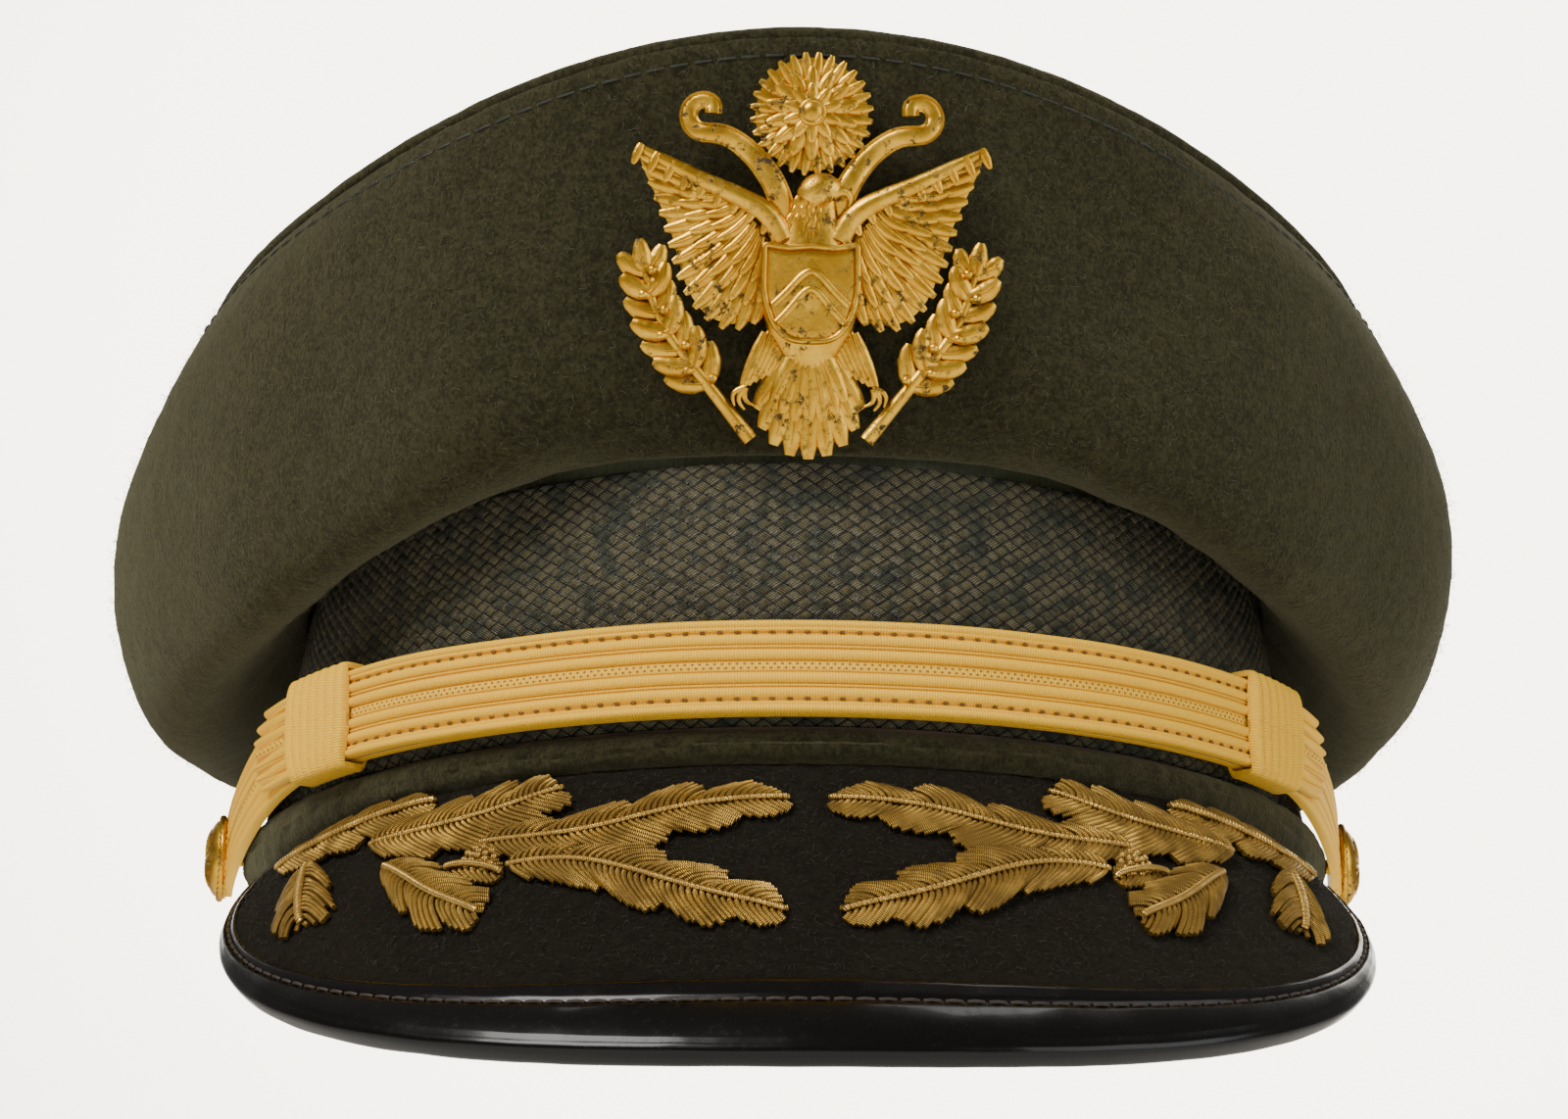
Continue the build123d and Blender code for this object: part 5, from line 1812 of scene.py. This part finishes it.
    def _ribbon(self, side: int) -> None:
        """A blank ribbon that curls beside the sunburst."""
        line = curve_through([(3.6, 4.4), (4.6, 8.4), (6.6, 12.4), (9.8, 16.0), (13.8, 18.0),
                              (17.2, 18.6), (18.3, 20.6), (16.9, 22.9), (14.8, 22.6),
                              (14.6, 21.0)], 60)
        t = spread(0, 1, 60)
        path = raised(line, 0.9 + 0.9 * np.sin(math.pi * t * 2.4) ** 2, side)
        self._stroke(path, 2.0 - 0.8 * t, 0.35, 10)
        for off in (-0.9, 0.9):
            across = np.stack([-np.gradient(path[:, 1]), np.gradient(path[:, 0])], -1)
            edge = path.copy()
            edge[:, :2] += unit(across) * (off * (2.0 - 0.8 * t))[:, None]
            edge[:, 2] += 0.3
            self._stroke(edge, 0.22, 1.0, 6)


# ---- fittings and inside ----
@dataclass
class Fittings:
    """Vent eyelets, side buttons and the solids that stay as packed."""

    shape: CapShape = SHAPE
    strap: ChinStrap = field(default_factory=ChinStrap)
    eyelet_r: float = 3.1
    bore: float = 1.7
    button_r: float = 7.2
    button_h: float = 3.6

    def build(self) -> None:
        """Make the eyelets and buttons and dress the rest."""
        for side_name, side in SIDES.items():
            self._eyelet(side_name, side)
            self._button(side_name, side)
        hidden = {"rim_grommet": Finish.STEEL, "front_stay": Finish.STEEL,
                  "front_interlining": Finish.CANVAS, "band_stiffener": Finish.FIBRE,
                  "visor_board": Finish.FIBRE, "badge_screw": Finish.GILT,
                  "badge_washer": Finish.GILT, "badge_nut": Finish.GILT}
        for side_name in SIDES:
            hidden |= {f"button_post_{side_name}": Finish.GILT,
                       f"button_anchor_{side_name}": Finish.GILT,
                       f"vent_washer_{side_name}": Finish.EYELET}
        for node, finish in hidden.items():
            dress(node, finish)

    def _turned(self, plane: Plane, radii: Array, heights: Array, count: int = 64) -> Solid:
        """A closed ring turned about the plane's outward axis from a closed profile."""
        turn = turns(count)
        r = np.append(radii, radii[0])
        h = np.append(heights, heights[0])
        face = plane.at(np.cos(turn)[:, None] * r, np.sin(turn)[:, None] * r, h + 0 * turn[:, None])
        core = face.mean(1, keepdims=True)
        return Solid().shell(face, core + (face - core) * 0.02, wrap=True)

    def _eyelet(self, side_name: str, side: int) -> None:
        """A rolled metal ring with its barrel."""
        shape = self.shape
        plane = shape.crown_at(side * shape.eyelet_azimuth, shape.eyelet_share)
        turn = spread(0, 2 * math.pi, 15)[:-1]
        middle, half = (self.eyelet_r + self.bore) / 2, (self.eyelet_r - self.bore) / 2
        ring = self._turned(plane, middle + half * np.cos(turn), 0.9 + 0.75 * np.sin(turn))
        ring.object(f"eyelet_{side_name}", Finish.EYELET, slot="eyelet_metal",
                    replaces=[f"vent_eyelet_{side_name}"])
        radii = np.array([self.bore, self.bore + 0.45, self.bore + 0.45, self.bore])
        self._turned(plane, radii, np.array([1.2, 1.2, -2.4, -2.4])).object(
            f"eyelet_barrel_{side_name}", Finish.EYELET, slot="eyelet_metal")
        Solid().dome(circle(self.bore + 0.2, 14), lambda s: 0.35 + 0 * s, plane, 2, 0.2).object(
            f"eyelet_shadow_{side_name}", Finish.VISOR_CLOTH, slot="wool_cloth")

    def _button(self, side_name: str, side: int) -> None:
        """A domed gilt button with a corded rim and a plain star of rays."""
        a = math.radians(side * self.strap.button)
        out = np.array([math.sin(a), -math.cos(a), 0.0])
        up = np.array([0, 0, 1.0])
        spot = self.strap.at(np.array(side * self.strap.button), 0.0, self.strap.button_z)
        plane = Plane(spot - out * 1.9, np.cross(up, out), up)
        foot = circle(self.button_r - 0.25, 72)
        work = Solid().dome(foot, lambda s: 0.9 + (self.button_h - 0.7) * np.sqrt(
            1 - (1 - s) ** 2), plane, 14)
        rim = plane.at(foot[:, 0] * 0.99, foot[:, 1] * 0.99, np.full(72, 1.0))
        cord = 0.55 + 0.12 * np.cos(math.pi * np.arange(72))
        work.tubes(rim[None], cord[None], out, 1.0, 8, True)
        for i in range(16):
            b = 2 * math.pi * i / 16
            share = spread(0.18, 0.72, 10)
            r = share * self.button_r
            top = 0.9 + (self.button_h - 0.7) * np.sqrt(1 - share ** 2)
            ray = plane.at(r * math.cos(b), r * math.sin(b), top)
            work.tubes(ray[None], (0.42 * np.sin(math.pi * spread(0.1, 0.95, 10)))[None], out,
                       0.6, 6)
        work.object(f"side_button_{side_name}", Finish.GILT, f"button_{side_name}",
                    "gilt_brass", [f"button_dome_{side_name}"])


@dataclass
class Inside:
    """The satin lining and the clear shield over the maker's place."""

    shape: CapShape = SHAPE
    lining: float = 0.5
    pleats: int = 46

    def build(self) -> None:
        """Make the lining and the shield."""
        azimuth = spread(-180, 180, 721)[:-1]
        foot = oval(azimuth, (79.3, 95.2))
        head = oval(azimuth, (90, 100), 98)
        top = self.shape.rim_height(-head * np.cos(np.radians(azimuth))) - 9
        knots = np.stack([np.stack([foot, 38 + 0 * foot], -1), np.stack([foot + 0.5, 46 + 0 * foot], -1),
                          np.stack([(foot + head) / 2 + 2, (46 + top) / 2], -1),
                          np.stack([head, top], -1)], 1)
        lines = np.array([curve_through(k, 50) for k in knots])
        pleat = 0.55 * np.sin(np.radians(azimuth) * self.pleats)[:, None] * smooth(
            spread(0, 1, 50), 0.05, 0.5)
        a = azimuth[:, None]
        inner = place(a, lines[..., 0] - self.lining - 0.6 + pleat, lines[..., 1])
        outer = place(a, lines[..., 0] - 0.5 + pleat * 0.9, lines[..., 1])
        Solid().shell(inner, outer, wrap=True).object(
            "satin_wall", Finish.SATIN, slot="satin_lining", replaces=["lining_side"])
        self._sheet("satin_top", 17.5, 7.9, Finish.SATIN, "satin_lining", "lining_top")
        self._shield()

    def _sheet(self, name: str, inset: float, drop: float, finish: Finish, slot: str,
               node: str) -> None:
        """A sheet that hangs under the top panel."""
        azimuth = spread(-180, 180, 181)[:-1]
        share = spread(1, 0.03, 34)
        rim = self.shape.rim(azimuth, inset)
        grid = rim[:, None] * np.array([1, 1, 0]) * share[None, :, None]
        grid[..., 2] = self.shape.rim_height(grid[..., 1]) - drop
        grid[..., 2] += wander(grid, 24) * 0.6 - 0.5 * (1 - share ** 2)
        low = grid - np.array([0, 0, self.lining])
        Solid().shell(grid, low, wrap=True).object(name, finish, slot=slot, replaces=[node])

    def _shield(self) -> None:
        """The film lozenge that protects the middle of the lining."""
        u = spread(-32, 32, 30)
        x, y = (u[:, None] + u[None]) / math.sqrt(2), (u[:, None] - u[None]) / math.sqrt(2)
        z = self.shape.rim_height(y) - 9.6
        face = np.stack([x, y, z], -1)
        Solid().shell(face, face - np.array([0, 0, 0.4])).object(
            "lining_film", Finish.FILM, slot="clear_plastic", replaces=["size_shield"])


# ---- studio ----
@dataclass
class Studio:
    """A pale floor, soft lamps and the camera."""

    floor_z: float = -0.30
    camera_at: tuple[float, float, float] = (-0.0187, -0.5367, -0.1049)
    camera_turn: float = -2.0
    camera_up: float = 17.21
    lens: float = 70.66
    sky: Colour = (0.93, 0.91, 0.87)
    glow: Colour = (1.0, 0.930, 0.800)
    bright_way: Colour = (0.10, 0.93, 0.35)
    dim: float = 0.20
    bright: float = 6.6

    def build(self) -> None:
        """Set the room, the lamps and the camera."""
        self._floor()
        self._world()
        self._lamp("key", (-0.55, -0.75, 0.75), 0.55, 15.0, (1.0, 0.97, 0.93))
        self._lamp("fill", (0.85, -0.65, 0.25), 0.8, 5.0, (0.95, 0.97, 1.0))
        self._lamp("top", (0.1, 0.3, 1.0), 0.7, 8.0, (1.0, 0.98, 0.95))
        self._camera()

    def _floor(self) -> None:
        """A wide pale sheet below the cap."""
        floor = Solid()
        x, y = np.meshgrid(spread(-3000, 3000, 13), spread(-3000, 3000, 13), indexing="ij")
        face = np.stack([x, y, 0 * x + self.floor_z / MM], -1)
        floor.shell(face, face - np.array([0, 0, 20.0]))
        graph = Graph("studio_floor")
        tone = graph.mix(graph.noise(3.0), (0.78, 0.77, 0.75), (0.82, 0.81, 0.79))
        made = floor.bare("studio_floor", graph.surface(Base_Color=tone, Roughness=0.8))

    def _world(self) -> None:
        """Dim pale light from all round, and a bright sweep behind the cap."""
        world = bpy.data.worlds.new("studio_sky")
        bpy.context.scene.world = world
        g = Graph("studio_sky", world)
        way = g.node("ShaderNodeTexCoord", output="Generated")
        ahead = g.node("ShaderNodeVectorMath", {"operation": "DOT_PRODUCT"},
                       {0: way, 1: self.bright_way}, "Value")
        share = ahead.step(0.80, 0.975)
        colour = g.mix(share, self.sky, self.glow)
        back = g.node("ShaderNodeBackground", None, {
            "Color": colour, "Strength": self.dim + share * (self.bright - self.dim)})
        out = g.tree.nodes.new("ShaderNodeOutputWorld")
        g.tree.links.new(back.output, out.inputs[0])

    def _lamp(self, name: str, at: Sequence[float], size: float, power: float,
              colour: Colour) -> None:
        """A soft square lamp aimed at the cap."""
        data = bpy.data.lights.new(name, "AREA")
        data.energy, data.size, data.color = power, size, colour
        lamp = bpy.data.objects.new(name, data)
        lamp.location = at
        aim = Vector((0, -0.05, 0.04)) - Vector(at)
        lamp.rotation_euler = aim.to_track_quat("-Z", "Y").to_euler()
        bpy.context.collection.objects.link(lamp)

    def _camera(self) -> None:
        """The camera, a little below the cap and looking up at it."""
        data = bpy.data.cameras.new("camera")
        data.lens, data.sensor_width = self.lens, 36.0
        data.clip_start, data.clip_end = 0.01, 20.0
        camera = bpy.data.objects.new("camera", data)
        camera.location = self.camera_at
        turn, up = math.radians(self.camera_turn), math.radians(self.camera_up)
        camera.rotation_euler = (math.pi / 2 + up, 0.0, turn)
        bpy.context.collection.objects.link(camera)
        bpy.context.scene.camera = camera


def main() -> None:
    """Build the cap and set the studio."""
    logging.basicConfig(level=logging.INFO, format="%(name)s: %(message)s")
    for assembly in (Crown(), Band(), Visor(), Embroidery(), ChinStrap(), Badge(), Fittings(),
                     Inside()):
        assembly.build()
        LOG.info("built %s", type(assembly).__name__)
    Studio().build()


if __name__ == "__main__":
    main()
